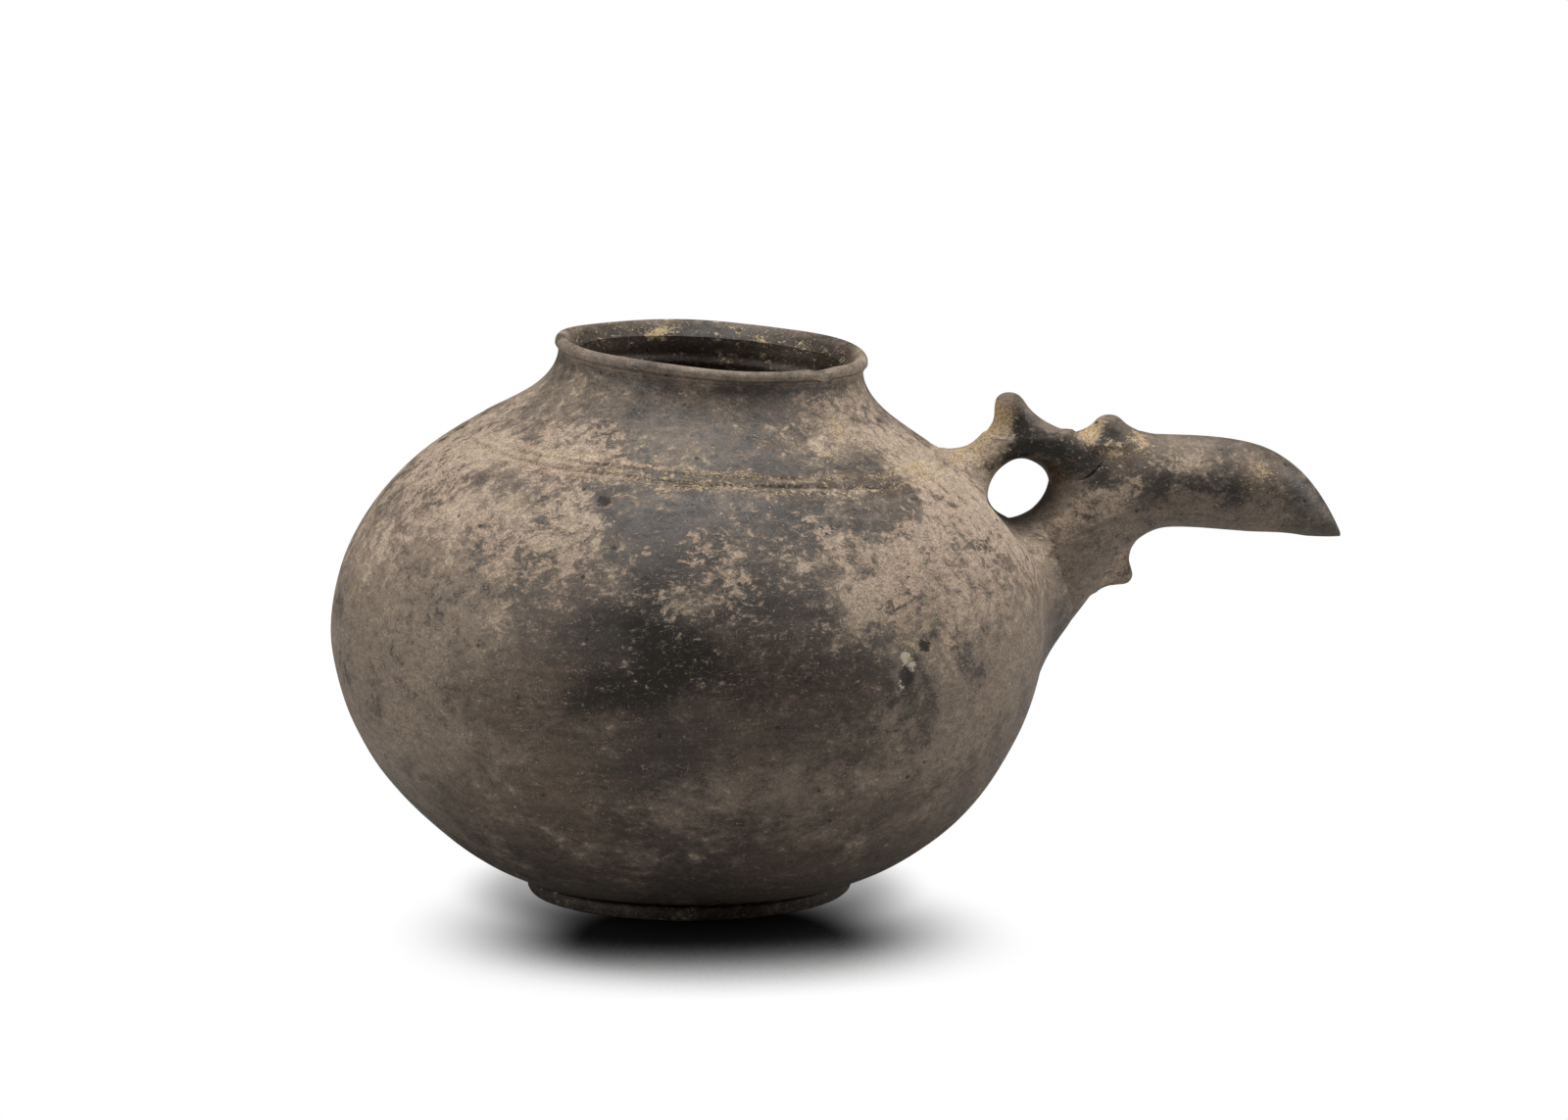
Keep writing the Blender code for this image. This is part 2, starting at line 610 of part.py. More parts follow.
def front_horn(spout, strap, rear):
    horn = peak("front_horn", line_point(CREST, FRONT_HORN_STATION), np.array((0.0, 0.0, 1.0)),
                np.array((1.0, 0.0, 0.0)), (FRONT_HORN_LENGTH, FRONT_HORN_WIDTH),
                (FRONT_HORN_TOP_LENGTH, FRONT_HORN_TOP_WIDTH), FRONT_HORN_HEIGHT, FRONT_HORN_POWER)
    return cut(horn, spout, strap, rear)


def wattle_knob(spout):
    axis = np.array((math.cos(WATTLE_ANGLE), 0.0, -math.sin(WATTLE_ANGLE)))
    along = np.array((math.sin(WATTLE_ANGLE), 0.0, math.cos(WATTLE_ANGLE)))
    knob = peak("wattle_knob", line_point(KEEL, WATTLE_STATION), axis, along,
                (WATTLE_HEIGHT, WATTLE_WIDTH), (WATTLE_TOP_HEIGHT, WATTLE_TOP_WIDTH),
                WATTLE_LENGTH, WATTLE_POWER)
    return cut(knob, spout)


# Colour and roughness of the fired clay
GREY = ((0.100, 0.085, 0.072), 0.55)
BROWN = ((0.120, 0.092, 0.070), 0.62)
BUFF = ((0.200, 0.155, 0.115), 0.70)
BLACK = ((0.055, 0.050, 0.042), 0.55)


def fired_clay(name, colour, roughness):
    """Fired clay surface of one member."""
    material = bpy.data.materials.new(name)
    material.use_nodes = True
    shader = material.node_tree.nodes["Principled BSDF"]
    shader.inputs["Base Color"].default_value = (*colour, 1.0)
    shader.inputs["Roughness"].default_value = roughness
    shader.inputs["Metallic"].default_value = 0.0
    return material


def main():
    for obj in list(bpy.data.objects):
        bpy.data.objects.remove(obj, do_unlink=True)
    body, spout, bore, strap = body_cutter(), spout_cutter(), bore_cutter(), strap_cutter()
    mouth, rear = spout_mouth(), cutter(rear_peak("rear_cutter", SLIP_GAP))
    pot = bpy.data.objects.new("pitcher", None)
    bpy.context.collection.objects.link(pot)
    members = (
        (foot_disc(), BROWN),
        (lower_bowl(), BROWN),
        (shoulder_dome(bore), GREY),
        (neck_collar(), GREY),
        (rim_coil(), BROWN),
        (spout_throat(body), GREY),
        (spout_luting_coil(body, spout), BUFF),
        (spout_beak(mouth), GREY),
        (bridge_strap(body, spout), BUFF),
        (rear_horn(body, spout, strap), BLACK),
        (front_horn(spout, strap, rear), BLACK),
        (wattle_knob(spout), BUFF),
    )
    for member, (colour, roughness) in members:
        member.data.materials.append(fired_clay(member.name + "_clay", colour, roughness))
        member.parent = pot


main()
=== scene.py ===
import math

import bpy
import numpy as np
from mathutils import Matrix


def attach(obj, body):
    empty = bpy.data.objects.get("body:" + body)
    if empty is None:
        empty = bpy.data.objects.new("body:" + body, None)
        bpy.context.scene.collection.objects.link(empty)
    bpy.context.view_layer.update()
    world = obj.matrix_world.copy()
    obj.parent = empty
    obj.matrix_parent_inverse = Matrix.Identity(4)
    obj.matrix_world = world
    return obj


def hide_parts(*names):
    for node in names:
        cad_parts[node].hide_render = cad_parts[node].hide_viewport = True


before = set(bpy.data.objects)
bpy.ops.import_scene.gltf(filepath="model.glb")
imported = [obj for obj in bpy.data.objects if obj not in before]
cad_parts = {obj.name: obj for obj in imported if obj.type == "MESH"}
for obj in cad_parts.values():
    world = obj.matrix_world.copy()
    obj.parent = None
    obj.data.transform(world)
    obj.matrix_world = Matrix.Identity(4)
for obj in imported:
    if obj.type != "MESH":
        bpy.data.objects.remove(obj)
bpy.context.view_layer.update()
view = bpy.context.scene.view_settings
view.view_transform = "Standard"

# camera, fitted to the photograph; angles in degrees, lengths in metres
shot = {"azimuth": -12.0, "elevation": 11.0, "distance": 3.501, "lens": 271.6, "sensor": 36.0, "farthest": 50.0,
        "aside": 0.02828, "height": 0.09888}


def makeCamera():
    # the target lies aside of the axis along the camera's right, and the camera stands back from it
    turn, lift = math.radians(shot["azimuth"]), math.radians(shot["elevation"])
    back = np.array([math.sin(turn) * math.cos(lift), -math.cos(turn) * math.cos(lift), math.sin(lift)])
    target = np.array([math.cos(turn) * shot["aside"], math.sin(turn) * shot["aside"], shot["height"]])
    data = bpy.data.cameras.new("camera")
    data.sensor_width = shot["sensor"]
    data.lens = shot["lens"]
    data.clip_end = shot["farthest"]
    camera = bpy.data.objects.new("camera", data)
    camera.location = target + back * shot["distance"]
    camera.rotation_euler = (math.radians(90.0) - lift, 0.0, turn)
    bpy.context.collection.objects.link(camera)
    bpy.context.scene.camera = camera


makeCamera()
print("camera ready")


# curves and steps

def bezier(controls, t):
    # cubic curve: the four controls weighted by (1-t)^3, 3t(1-t)^2, 3t^2(1-t) and t^3
    a, b, c, d = (np.asarray(p, dtype=float) for p in controls)
    t = np.asarray(t, dtype=float)[..., None]
    return a * (1 - t) ** 3 + b * 3 * t * (1 - t) ** 2 + c * 3 * t * t * (1 - t) + d * t ** 3


def pulled(start, startAngle, end, endAngle, pulls):
    # controls of a cubic that leaves and arrives at the given angles, pulled by shares of its chord
    start, end = np.array(start, dtype=float), np.array(end, dtype=float)
    chord = np.linalg.norm(end - start)
    out = np.array([math.cos(math.radians(startAngle)), math.sin(math.radians(startAngle))])
    into = np.array([math.cos(math.radians(endAngle)), math.sin(math.radians(endAngle))])
    return start, start + out * chord * pulls[0], end - into * chord * pulls[1], end


def smooth(x):
    # 3x^2 - 2x^3 between 0 and 1
    x = np.clip(x, 0.0, 1.0)
    return x * x * (3.0 - 2.0 * x)


def over(x, step):
    # 0 up to the step's place, then smoothly to 1 over its length
    return smooth((x - step[0]) / step[1])


def under(x, step):
    # 0 from the step's place on, and smoothly to 1 over its length below that
    return smooth((step[0] - x) / step[1])


def bell(x, width):
    # Gaussian bell: e to the -(x / width)^2
    return np.exp(-(x / width) ** 2)


def waves(seed, count, shortest, longest):
    # seeded plane waves: directions, wave numbers and phases
    rng = np.random.default_rng(seed)
    heading = rng.normal(size=(count, 3))
    heading /= np.linalg.norm(heading, axis=1)[:, None]
    length = rng.uniform(shortest, longest, count)
    return heading * (2 * math.pi / length)[:, None], rng.uniform(0, 2 * math.pi, count)


def swell(points, wave):
    # sum of the waves' cosines, brought to a spread of about one
    total = np.zeros(points.shape[:-1])
    for k, phase in zip(*wave):
        total += np.cos(points @ k + phase)
    return total / math.sqrt(len(wave[1]) / 2)


def bump(points, at, radius):
    # Gaussian bell round a place: e to the -(distance / radius)^2
    return np.exp(-np.sum((points - np.array(at)) ** 2, axis=-1) / radius ** 2)


def ripple(turn, terms):
    # sum of size * sin(count * turn + phase)
    return sum(size * np.sin(count * turn + phase) for size, count, phase in terms)


# the potter's hand: waves as (seed, number, shortest, longest), their shares, and a set-back
hand = {"broadWaves": (3, 14, 0.045, 0.110), "smallWaves": (5, 22, 0.012, 0.032),
        "broad": 0.55, "small": 0.25, "setBack": 1.3}
broadWave, handWave = waves(*hand["broadWaves"]), waves(*hand["smallWaves"])


def handMade(points, amount):
    # potter's unevenness: broad and hand-sized swells, kept inside the true surface
    broad, small = hand["broad"] * swell(points, broadWave), hand["small"] * swell(points, handWave)
    return amount * (broad + small - hand["setBack"])


# the turned body: one outline from the foot to the neck, leaned towards the spout
# stops on it are (radius, height, heading)
body = {
    "foot": (0.0478, 0.0045, 15.5), "belly": (0.1059, 0.0785, 90.0),
    "groove": (0.0691, 0.1361, 144.1), "neck": (0.0455, 0.1592, 90.0),
    "bowlPulls": (0.42, 0.26), "shoulderPulls": (0.537, 0.118), "collarPulls": (0.197, 0.343),
    "lean": 4.0, "shift": 0.0013, "sway": 0.0016, "swayFrom": 0.0042, "swayTo": 0.0462,
    "wall": 0.006, "seamHeight": 0.0472, "seamLap": 0.004, "rootHeight": 0.0860, "collarStep": 0.003,
    "around": 448, "samples": 241,
    "lineSpacing": 0.0034, "lineWidth": 0.0009, "lineDepth": 0.0006, "unevenness": 0.00026,
}


def legs():
    # foot to belly, belly to groove, groove to neck
    stops = [body[k] for k in ("foot", "belly", "groove", "neck")]
    pulls = [body[k] for k in ("bowlPulls", "shoulderPulls", "collarPulls")]
    t = np.linspace(0.0, 1.0, body["samples"])
    parts = [bezier(pulled(a[:2], a[2], b[:2], b[2], p), t)[:-1] for a, b, p in zip(stops, stops[1:], pulls)]
    return np.concatenate(parts + [np.array([stops[-1][:2]])])


outline = legs()
arcs = np.concatenate([[0.0], np.cumsum(np.linalg.norm(np.diff(outline, axis=0), axis=1))])
slopes = np.gradient(outline, arcs, axis=0)
slopes /= np.linalg.norm(slopes, axis=1)[:, None]
marked = body["seamHeight"], body["groove"][1], body["rootHeight"]
arcSeam, arcGroove, arcRoot = (float(np.interp(h, outline[:, 1], arcs)) for h in marked)
arcCollar, arcNeck = arcGroove + body["collarStep"], float(arcs[-1])


def wallPoint(arc, lift):
    # outline point at an arc length, moved along the outward normal (tz, -tr)
    r, z = np.interp(arc, arcs, outline[:, 0]), np.interp(arc, arcs, outline[:, 1])
    tr, tz = np.interp(arc, arcs, slopes[:, 0]), np.interp(arc, arcs, slopes[:, 1])
    return r + tz * lift, z - tr * lift


def leaned(p):
    # the bowl sways by 27/4 t(1-t)^2, and the shoulder turns about the belly by a smooth share of the lean
    x, z = p[..., 0], p[..., 2]
    t = np.clip((z - body["swayFrom"]) / (body["swayTo"] - body["swayFrom"]), 0.0, 1.0)
    w = smooth((z - body["belly"][1]) / (body["groove"][1] - body["belly"][1]))
    a, above = math.radians(body["lean"]) * w, z - body["belly"][1]
    x2 = x * np.cos(a) + above * np.sin(a) + body["shift"] * w + body["sway"] * (27 / 4) * t * (1 - t) ** 2
    return np.stack([x2, p[..., 1], body["belly"][1] + above * np.cos(a) - x * np.sin(a)], axis=-1)


def turned(r, z, turn):
    # leaned rings: (r cos, r sin, z) at each turn
    return leaned(np.stack(np.broadcast_arrays(r * np.cos(turn), r * np.sin(turn), z), axis=-1))


def bodySkin(arc, turn, lift):
    # leaned surface of revolution over arc length and turn
    return turned(*wallPoint(arc, lift), turn)


# the spout: two guide lines in the XZ plane, with rounded sections between them
spout = {
    "rise": 47.0, "throatRadius": 0.0162, "throatHalf": 0.0150, "bend": (0.0404, 0.0318), "bendTilt": 10.5,
    "bendRadius": 0.0147, "bendHalf": 0.0142, "beak": (0.0558, -0.0180), "crestFall": 4.0, "tipFall": 66.0,
    "tipRadius": 0.0010, "tipHalf": 0.0020, "wall": 0.0045,
    "keelPower": 0.75, "squareRun": 0.40, "rounding": 0.75,
    "crestPulls": ((0.49, 0.36), (0.43, 0.50)), "keelPulls": ((0.43, 0.29), (0.30, 0.26)),
    "joint": 0.88, "boreEnd": 1.84, "mouth": (1.36, 1.80), "mouthWidth": 0.0110, "mouthLeast": 0.35,
    "around": 112, "throatRows": 84, "beakRows": 100, "tipFrom": 1.9, "tipRoots": (0.316, 0.02), "tipRows": 18,
    "boreRows": (24, 30), "mouthRows": (41, 6), "unevenness": 0.00018,
}


def across(angle):
    # unit vector a quarter turn left of a heading
    return np.array([-math.sin(math.radians(angle)), math.cos(math.radians(angle))])


rootAt = bodySkin(arcRoot, 0.0, -body["wall"] / 2)[[0, 2]]
bendAt = rootAt + np.array(spout["bend"])
tipAt = bendAt + np.array(spout["beak"])
rootUp, bendUp = across(spout["rise"]) * spout["throatRadius"], across(spout["bendTilt"]) * spout["bendRadius"]
tipUp = np.array([0.0, spout["tipRadius"]])
rise, fall, tipFall = spout["rise"], -spout["crestFall"], -spout["tipFall"]
(crestIn, crestOut), (keelIn, keelOut) = spout["crestPulls"], spout["keelPulls"]
crestLine = (pulled(rootAt + rootUp, rise, bendAt + bendUp, fall, crestIn),
             pulled(bendAt + bendUp, fall, tipAt + tipUp, tipFall, crestOut))
keelLine = (pulled(rootAt - rootUp, rise, bendAt - bendUp, 0.0, keelIn),
            pulled(bendAt - bendUp, 0.0, tipAt - tipUp, 0.0, keelOut))
rootEmbed = spout["throatRadius"] * math.tan(math.radians(spout["rise"])) + 2 * body["wall"]


def linePoint(line, s):
    # station 0 to 1 on the throat's curve, 1 to 2 on the beak's, and straight back below 0
    s = np.asarray(s, dtype=float)
    ahead = np.array([math.cos(math.radians(spout["rise"])), math.sin(math.radians(spout["rise"]))])
    near, far = bezier(line[0], np.clip(s, 0, 1)), bezier(line[1], np.clip(s - 1, 0, 1))
    return np.where((s > 1)[..., None], far, near) + np.minimum(s, 0)[..., None] * ahead * rootEmbed


def spoutSkin(s, turn, grow):
    # section between crest and keel: height by sin, width by cos, squared off below on the beak
    s, turn, grow = np.broadcast_arrays(*(np.asarray(v, dtype=float) for v in (s, turn, grow)))
    crest, keel = linePoint(crestLine, s), linePoint(keelLine, s)
    middle, half = (crest + keel) / 2, (crest - keel) / 2
    tall = np.linalg.norm(half, axis=-1)
    u = np.clip(s - 1, 0, 1)
    straight = spout["throatHalf"] + (spout["bendHalf"] - spout["throatHalf"]) * np.clip(s, 0, 1)
    drawn = spout["tipHalf"] + (spout["bendHalf"] - spout["tipHalf"]) * (1 - u * u) ** spout["rounding"]
    wide = np.where(s > 1, drawn, straight)
    power = np.where(np.sin(turn) < 0, 1 - (1 - spout["keelPower"]) * smooth((s - 1) / spout["squareRun"]), 1.0)
    side = np.sign(np.cos(turn)) * np.abs(np.cos(turn)) ** power
    spot = middle + half / tall[..., None] * ((tall + grow) * np.sin(turn))[..., None]
    return np.stack([spot[..., 0], (wide + grow) * side, spot[..., 1]], axis=-1)


# meshes
sharpAngle = math.radians(55.0)


def normalsOf(grid):
    # unit cross product of the grid's two central differences, the second way closed
    along = np.gradient(grid, axis=0)
    around = np.roll(grid, -1, axis=1) - np.roll(grid, 1, axis=1)
    n = np.cross(around, along)
    return n / np.maximum(np.linalg.norm(n, axis=-1), 1e-12)[..., None]


def facing(grid, normals):
    # the same normals, pointing away from the middle of each ring
    away = grid - grid.mean(axis=1, keepdims=True)
    return normals * np.where(np.sum(normals * away) < 0, -1.0, 1.0)


def skin(name, grid, closed=False, startCap=False, endCap=False):
    # quads between neighbours of a grid that closes round its rings; ends joined, or fanned to a middle point
    rows, cols = grid.shape[:2]
    i = np.arange(rows if closed else rows - 1)[:, None]
    j = np.arange(cols)[None, :]
    low, high, nextJ = i * cols, ((i + 1) % rows) * cols, (j + 1) % cols
    quads = np.stack([low + j, low + nextJ, high + nextJ, high + j], axis=-1).reshape(-1, 4)
    points, fans = [grid.reshape(-1, 3)], []
    for wanted, row, way in ((startCap, 0, -1), (endCap, rows - 1, 1)):
        if wanted:
            centre = rows * cols + len(fans)
            points.append(grid[row].mean(axis=0)[None])
            pair = (j[0] + row * cols, nextJ[0] + row * cols)[::way]
            fans.append(np.stack([pair[0], pair[1], np.full(cols, centre)], axis=-1))
    points = np.concatenate(points)
    corners = np.concatenate([quads[:, [0, 1, 2]], quads[:, [0, 2, 3]]] + fans)
    a, b, c = (points[corners[:, k]] for k in range(3))
    inward = np.sum(a * np.cross(b, c)) < 0
    faces = [f[:, ::-1] if inward else f for f in [quads] + fans]
    mesh = bpy.data.meshes.new(name)
    mesh.from_pydata(points.tolist(), [], [f for group in faces for f in group.tolist()])
    mesh.update()
    mesh.shade_smooth()
    mesh.set_sharp_from_angle(angle=sharpAngle)
    return mesh


# clay smeared from piece to piece: search margin, slack beside a point, least cosine and the reaches
smear = {"margin": 0.012, "slack": 0.0012, "leastCosine": 0.5, "block": 1500, "sunk": 0.0002,
         "shoulder": 0.0065, "spout": 0.0060, "wattle": 0.0040}


def nearness(points, cloud, normals):
    # signed distance to a cloud of skin points, and the nearest point's normal
    # the distance is the offset along that normal, joined with any sideways miss past the slack
    flat = points.reshape(-1, 3)
    out, way = np.full(len(flat), 1.0), np.zeros(flat.shape)
    low, high = cloud.min(axis=0) - smear["margin"], cloud.max(axis=0) + smear["margin"]
    near = np.flatnonzero(np.all((flat > low) & (flat < high), axis=1))
    for part in np.array_split(near, max(1, len(near) // smear["block"])):
        gap = flat[part][:, None] - cloud[None]
        best = np.argmin(np.einsum("ijk,ijk->ij", gap, gap), axis=1)
        miss = flat[part] - cloud[best]
        lift = np.sum(miss * normals[best], axis=1)
        side = np.sqrt(np.maximum(np.sum(miss * miss, axis=1) - lift * lift, 0.0))
        out[part] = np.sign(lift) * np.hypot(lift, np.maximum(side - smear["slack"], 0.0))
        way[part] = normals[best]
    return out.reshape(points.shape[:-1]), way.reshape(points.shape)


def smeared(grid, normals, clouds, reach):
    # clay smeared into a corner: within reach of a neighbour the skin swells by (2k + k^3) / (4 reach) times
    # (reach - distance)^2, where k is the tangent of half the angle between the two normals
    rise = np.zeros(grid.shape[:-1])
    for cloud, out in clouds:
        d, other = nearness(grid, cloud, out)
        cosine = np.clip(np.sum(other * normals, axis=-1), smear["leastCosine"], 1.0)
        k = np.sqrt((1 - cosine) / (1 + cosine))
        rise = np.maximum(rise, (2 * k + k ** 3) / (4 * reach) * np.maximum(reach - np.abs(d), 0.0) ** 2)
    return grid + normals * rise[..., None]


def cloudOf(grid, rowStep, colStep):
    # every few points of a skin with their outward normals
    n = facing(grid, normalsOf(grid))
    return grid[::rowStep, ::colStep].reshape(-1, 3), n[::rowStep, ::colStep].reshape(-1, 3)


def rings(count):
    # even turns round a ring, as a row
    return np.arange(count)[None, :] * (2 * math.pi / count)


# bridge strap, horns and wattle as bare skins, before they are smeared together
strap = {
    "footDepth": 0.0203, "footHalf": 0.0100, "half": 0.0068, "eye": 0.0394, "seat": 0.0040,
    "crestAngles": (30.0, -20.0), "soffitAngles": (62.0, -50.0), "crestStation": 0.78, "soffitStation": 0.44,
    "crestPulls": (0.46, 0.42), "soffitPulls": (0.67, 0.72), "around": 80, "rows": 110, "unevenness": 0.0002,
}
strapArc = arcRoot + strap["eye"]
strapFoot = bodySkin(strapArc + strap["footDepth"], 0.0, -strap["seat"])[[0, 2]]
strapRoot = bodySkin(strapArc, 0.0, -strap["seat"])[[0, 2]]
strapTop = linePoint(crestLine, strap["crestStation"]) - np.array([0.0, strap["seat"] / 2])
strapUnder = linePoint(crestLine, strap["soffitStation"]) - np.array([0.0, strap["seat"]])
strapCrest = pulled(strapFoot, strap["crestAngles"][0], strapTop, strap["crestAngles"][1], strap["crestPulls"])
strapSoffit = pulled(strapRoot, strap["soffitAngles"][0], strapUnder, strap["soffitAngles"][1],
                     strap["soffitPulls"])


def strapSkin():
    # ovals between the crest and the soffit curve, wider by |2v-1|^3 towards both feet
    v = np.linspace(0.0, 1.0, strap["rows"])
    turn = rings(strap["around"])
    crest, soffit = bezier(strapCrest, v), bezier(strapSoffit, v)
    middle, half = (crest + soffit) / 2, (crest - soffit) / 2
    wide = strap["half"] + (strap["footHalf"] - strap["half"]) * np.abs(2 * v - 1) ** 3
    up = np.sin(turn)
    return np.stack([middle[:, :1] + half[:, :1] * up, wide[:, None] * np.cos(turn),
                     middle[:, 1:] + half[:, 1:] * up], axis=-1)


# horns and wattle: (length, width) at foot and top
rearHorn = {"at": 0.545, "sink": 0.0016, "foot": (0.0268, 0.0124), "top": (0.0098, 0.0088), "height": 0.0131,
            "power": 2.6, "back": 0.0065}
frontHorn = {"at": 0.78, "foot": (0.0220, 0.0150), "top": (0.0080, 0.0070), "height": 0.0076,
             "power": 1.6, "back": 0.0}
wattle = {"at": 0.45, "foot": (0.0175, 0.0100), "top": (0.0058, 0.0050), "height": 0.0078,
          "power": 1.6, "back": 0.0, "fall": 36.0}
peak = {"sunk": 0.3, "sunkRows": 5, "rows": 46, "crowding": 1.35, "around": 64, "rounded": 0.985, "rounding": 7,
        "unevenness": 0.0002}


def peakSkin(size, seat, axis, along):
    # ovals up an axis: foot size drawn in to the top size by (1-h)^power, rounded off by sqrt(1-h^7)
    # and set back by 1-(1-h)^2
    sunk = np.linspace(-peak["sunk"], 0.0, peak["sunkRows"])[:-1]
    h = np.concatenate([sunk, 1 - np.linspace(1.0, 0.0, peak["rows"]) ** peak["crowding"]])[:, None]
    turn = rings(peak["around"])
    up = np.clip(h, 0, 1)
    dome = np.sqrt(1 - (peak["rounded"] * up) ** peak["rounding"])
    pairs = zip(size["foot"], size["top"])
    length, width = ((t + (f - t) * (1 - up) ** size["power"]) / 2 * dome for f, t in pairs)
    back = size["back"] * (1 - (1 - up) ** 2)
    middle = np.array([seat[0], 0.0, seat[1]]) + h[..., None] * size["height"] * axis - back[..., None] * along
    side = np.array([0.0, 1.0, 0.0])
    return middle + (length * np.cos(turn))[..., None] * along + (width * np.sin(turn))[..., None] * side


# the skins' stretches that are compared: spout stations, and the body's arc below the root and half turn
compared = {"stations": (0.10, 1.30, 90), "spoutAround": 80, "below": 0.045, "bodyRows": 120, "halfTurn": 0.5,
            "bodyAround": 81}
upright, onward = np.array([0.0, 0.0, 1.0]), np.array([1.0, 0.0, 0.0])
droop = math.radians(wattle["fall"])
wattleAxis = np.array([math.cos(droop), 0.0, -math.sin(droop)])
wattleAlong = np.array([math.sin(droop), 0.0, math.cos(droop)])
rearAt = bezier(strapCrest, rearHorn["at"]) - np.array([0.0, rearHorn["sink"]])
bareStrap = strapSkin()
bareSpout = spoutSkin(np.linspace(*compared["stations"])[:, None], rings(compared["spoutAround"]), 0.0)
bareRear = peakSkin(rearHorn, rearAt, upright, onward)
bareFront = peakSkin(frontHorn, linePoint(crestLine, frontHorn["at"]), upright, onward)
bareWattle = peakSkin(wattle, linePoint(keelLine, wattle["at"]), wattleAxis, wattleAlong)
bodyArcs = np.linspace(arcRoot - compared["below"], arcNeck, compared["bodyRows"])[:, None]
bodyTurns = np.linspace(-compared["halfTurn"], compared["halfTurn"], compared["bodyAround"])[None, :]
bareBody = bodySkin(bodyArcs, bodyTurns, 0.0)
bodyUp = np.cross(np.gradient(bareBody, axis=1), np.gradient(bareBody, axis=0))
bodyUp /= np.linalg.norm(bodyUp, axis=-1)[..., None]
bodyCloud = (bareBody.reshape(-1, 3), bodyUp.reshape(-1, 3))
strapAll, spoutAll = cloudOf(bareStrap, 1, 2), cloudOf(bareSpout, 1, 1)
rearAll, frontAll, wattleAll = (cloudOf(g, 1, 1) for g in (bareRear, bareFront, bareWattle))


def exposed(cloud, *others):
    # the points of a cloud that lie outside the other skins
    kept = np.ones(len(cloud[0]), dtype=bool)
    for other in others:
        kept &= nearness(cloud[0], *other)[0] > -smear["sunk"]
    return cloud[0][kept], cloud[1][kept]


strapCloud = exposed(strapAll, bodyCloud, spoutAll, rearAll, frontAll)
rearCloud = exposed(rearAll, strapAll, spoutAll)
frontCloud = exposed(frontAll, strapAll, spoutAll, rearAll)
wattleCloud = exposed(wattleAll, spoutAll)
spoutCloud = exposed(spoutAll, bodyCloud, strapAll, frontAll, wattleAll)
bodyCloud = exposed(bodyCloud, strapAll, spoutAll)

# finger eye: middle and half sizes in the XZ plane, and the depths and oval radius where its push dies out
eye = {"at": (0.0996, 0.1161), "size": (0.0093, 0.0079), "tilt": 18.0,
       "wall": 0.92, "flare": 26.0, "soft": 0.20, "least": 0.05,
       "depth": 0.032, "depthRun": 0.012, "farthest": 2.6}


def eyeHole(p):
    # flared oval bore across the pot: an oval radius becomes the soft maximum of itself and wall + flare |y|
    a, side = math.radians(eye["tilt"]), np.abs(p[..., 1])
    dx, dz = p[..., 0] - eye["at"][0], p[..., 2] - eye["at"][1]
    u = (dx * math.cos(a) + dz * math.sin(a)) / eye["size"][0]
    v = (dz * math.cos(a) - dx * math.sin(a)) / eye["size"][1]
    radius = np.maximum(np.hypot(u, v), eye["least"])
    wall = eye["wall"] + eye["flare"] * side
    pushed = (radius + wall + np.sqrt((radius - wall) ** 2 + eye["soft"] ** 2)) / 2
    fade = smooth((eye["depth"] - side) / eye["depthRun"]) * smooth(eye["farthest"] - radius)
    gain = (pushed / radius - 1) * fade
    return p + np.stack([dx * gain, 0.0 * gain, dz * gain], axis=-1)


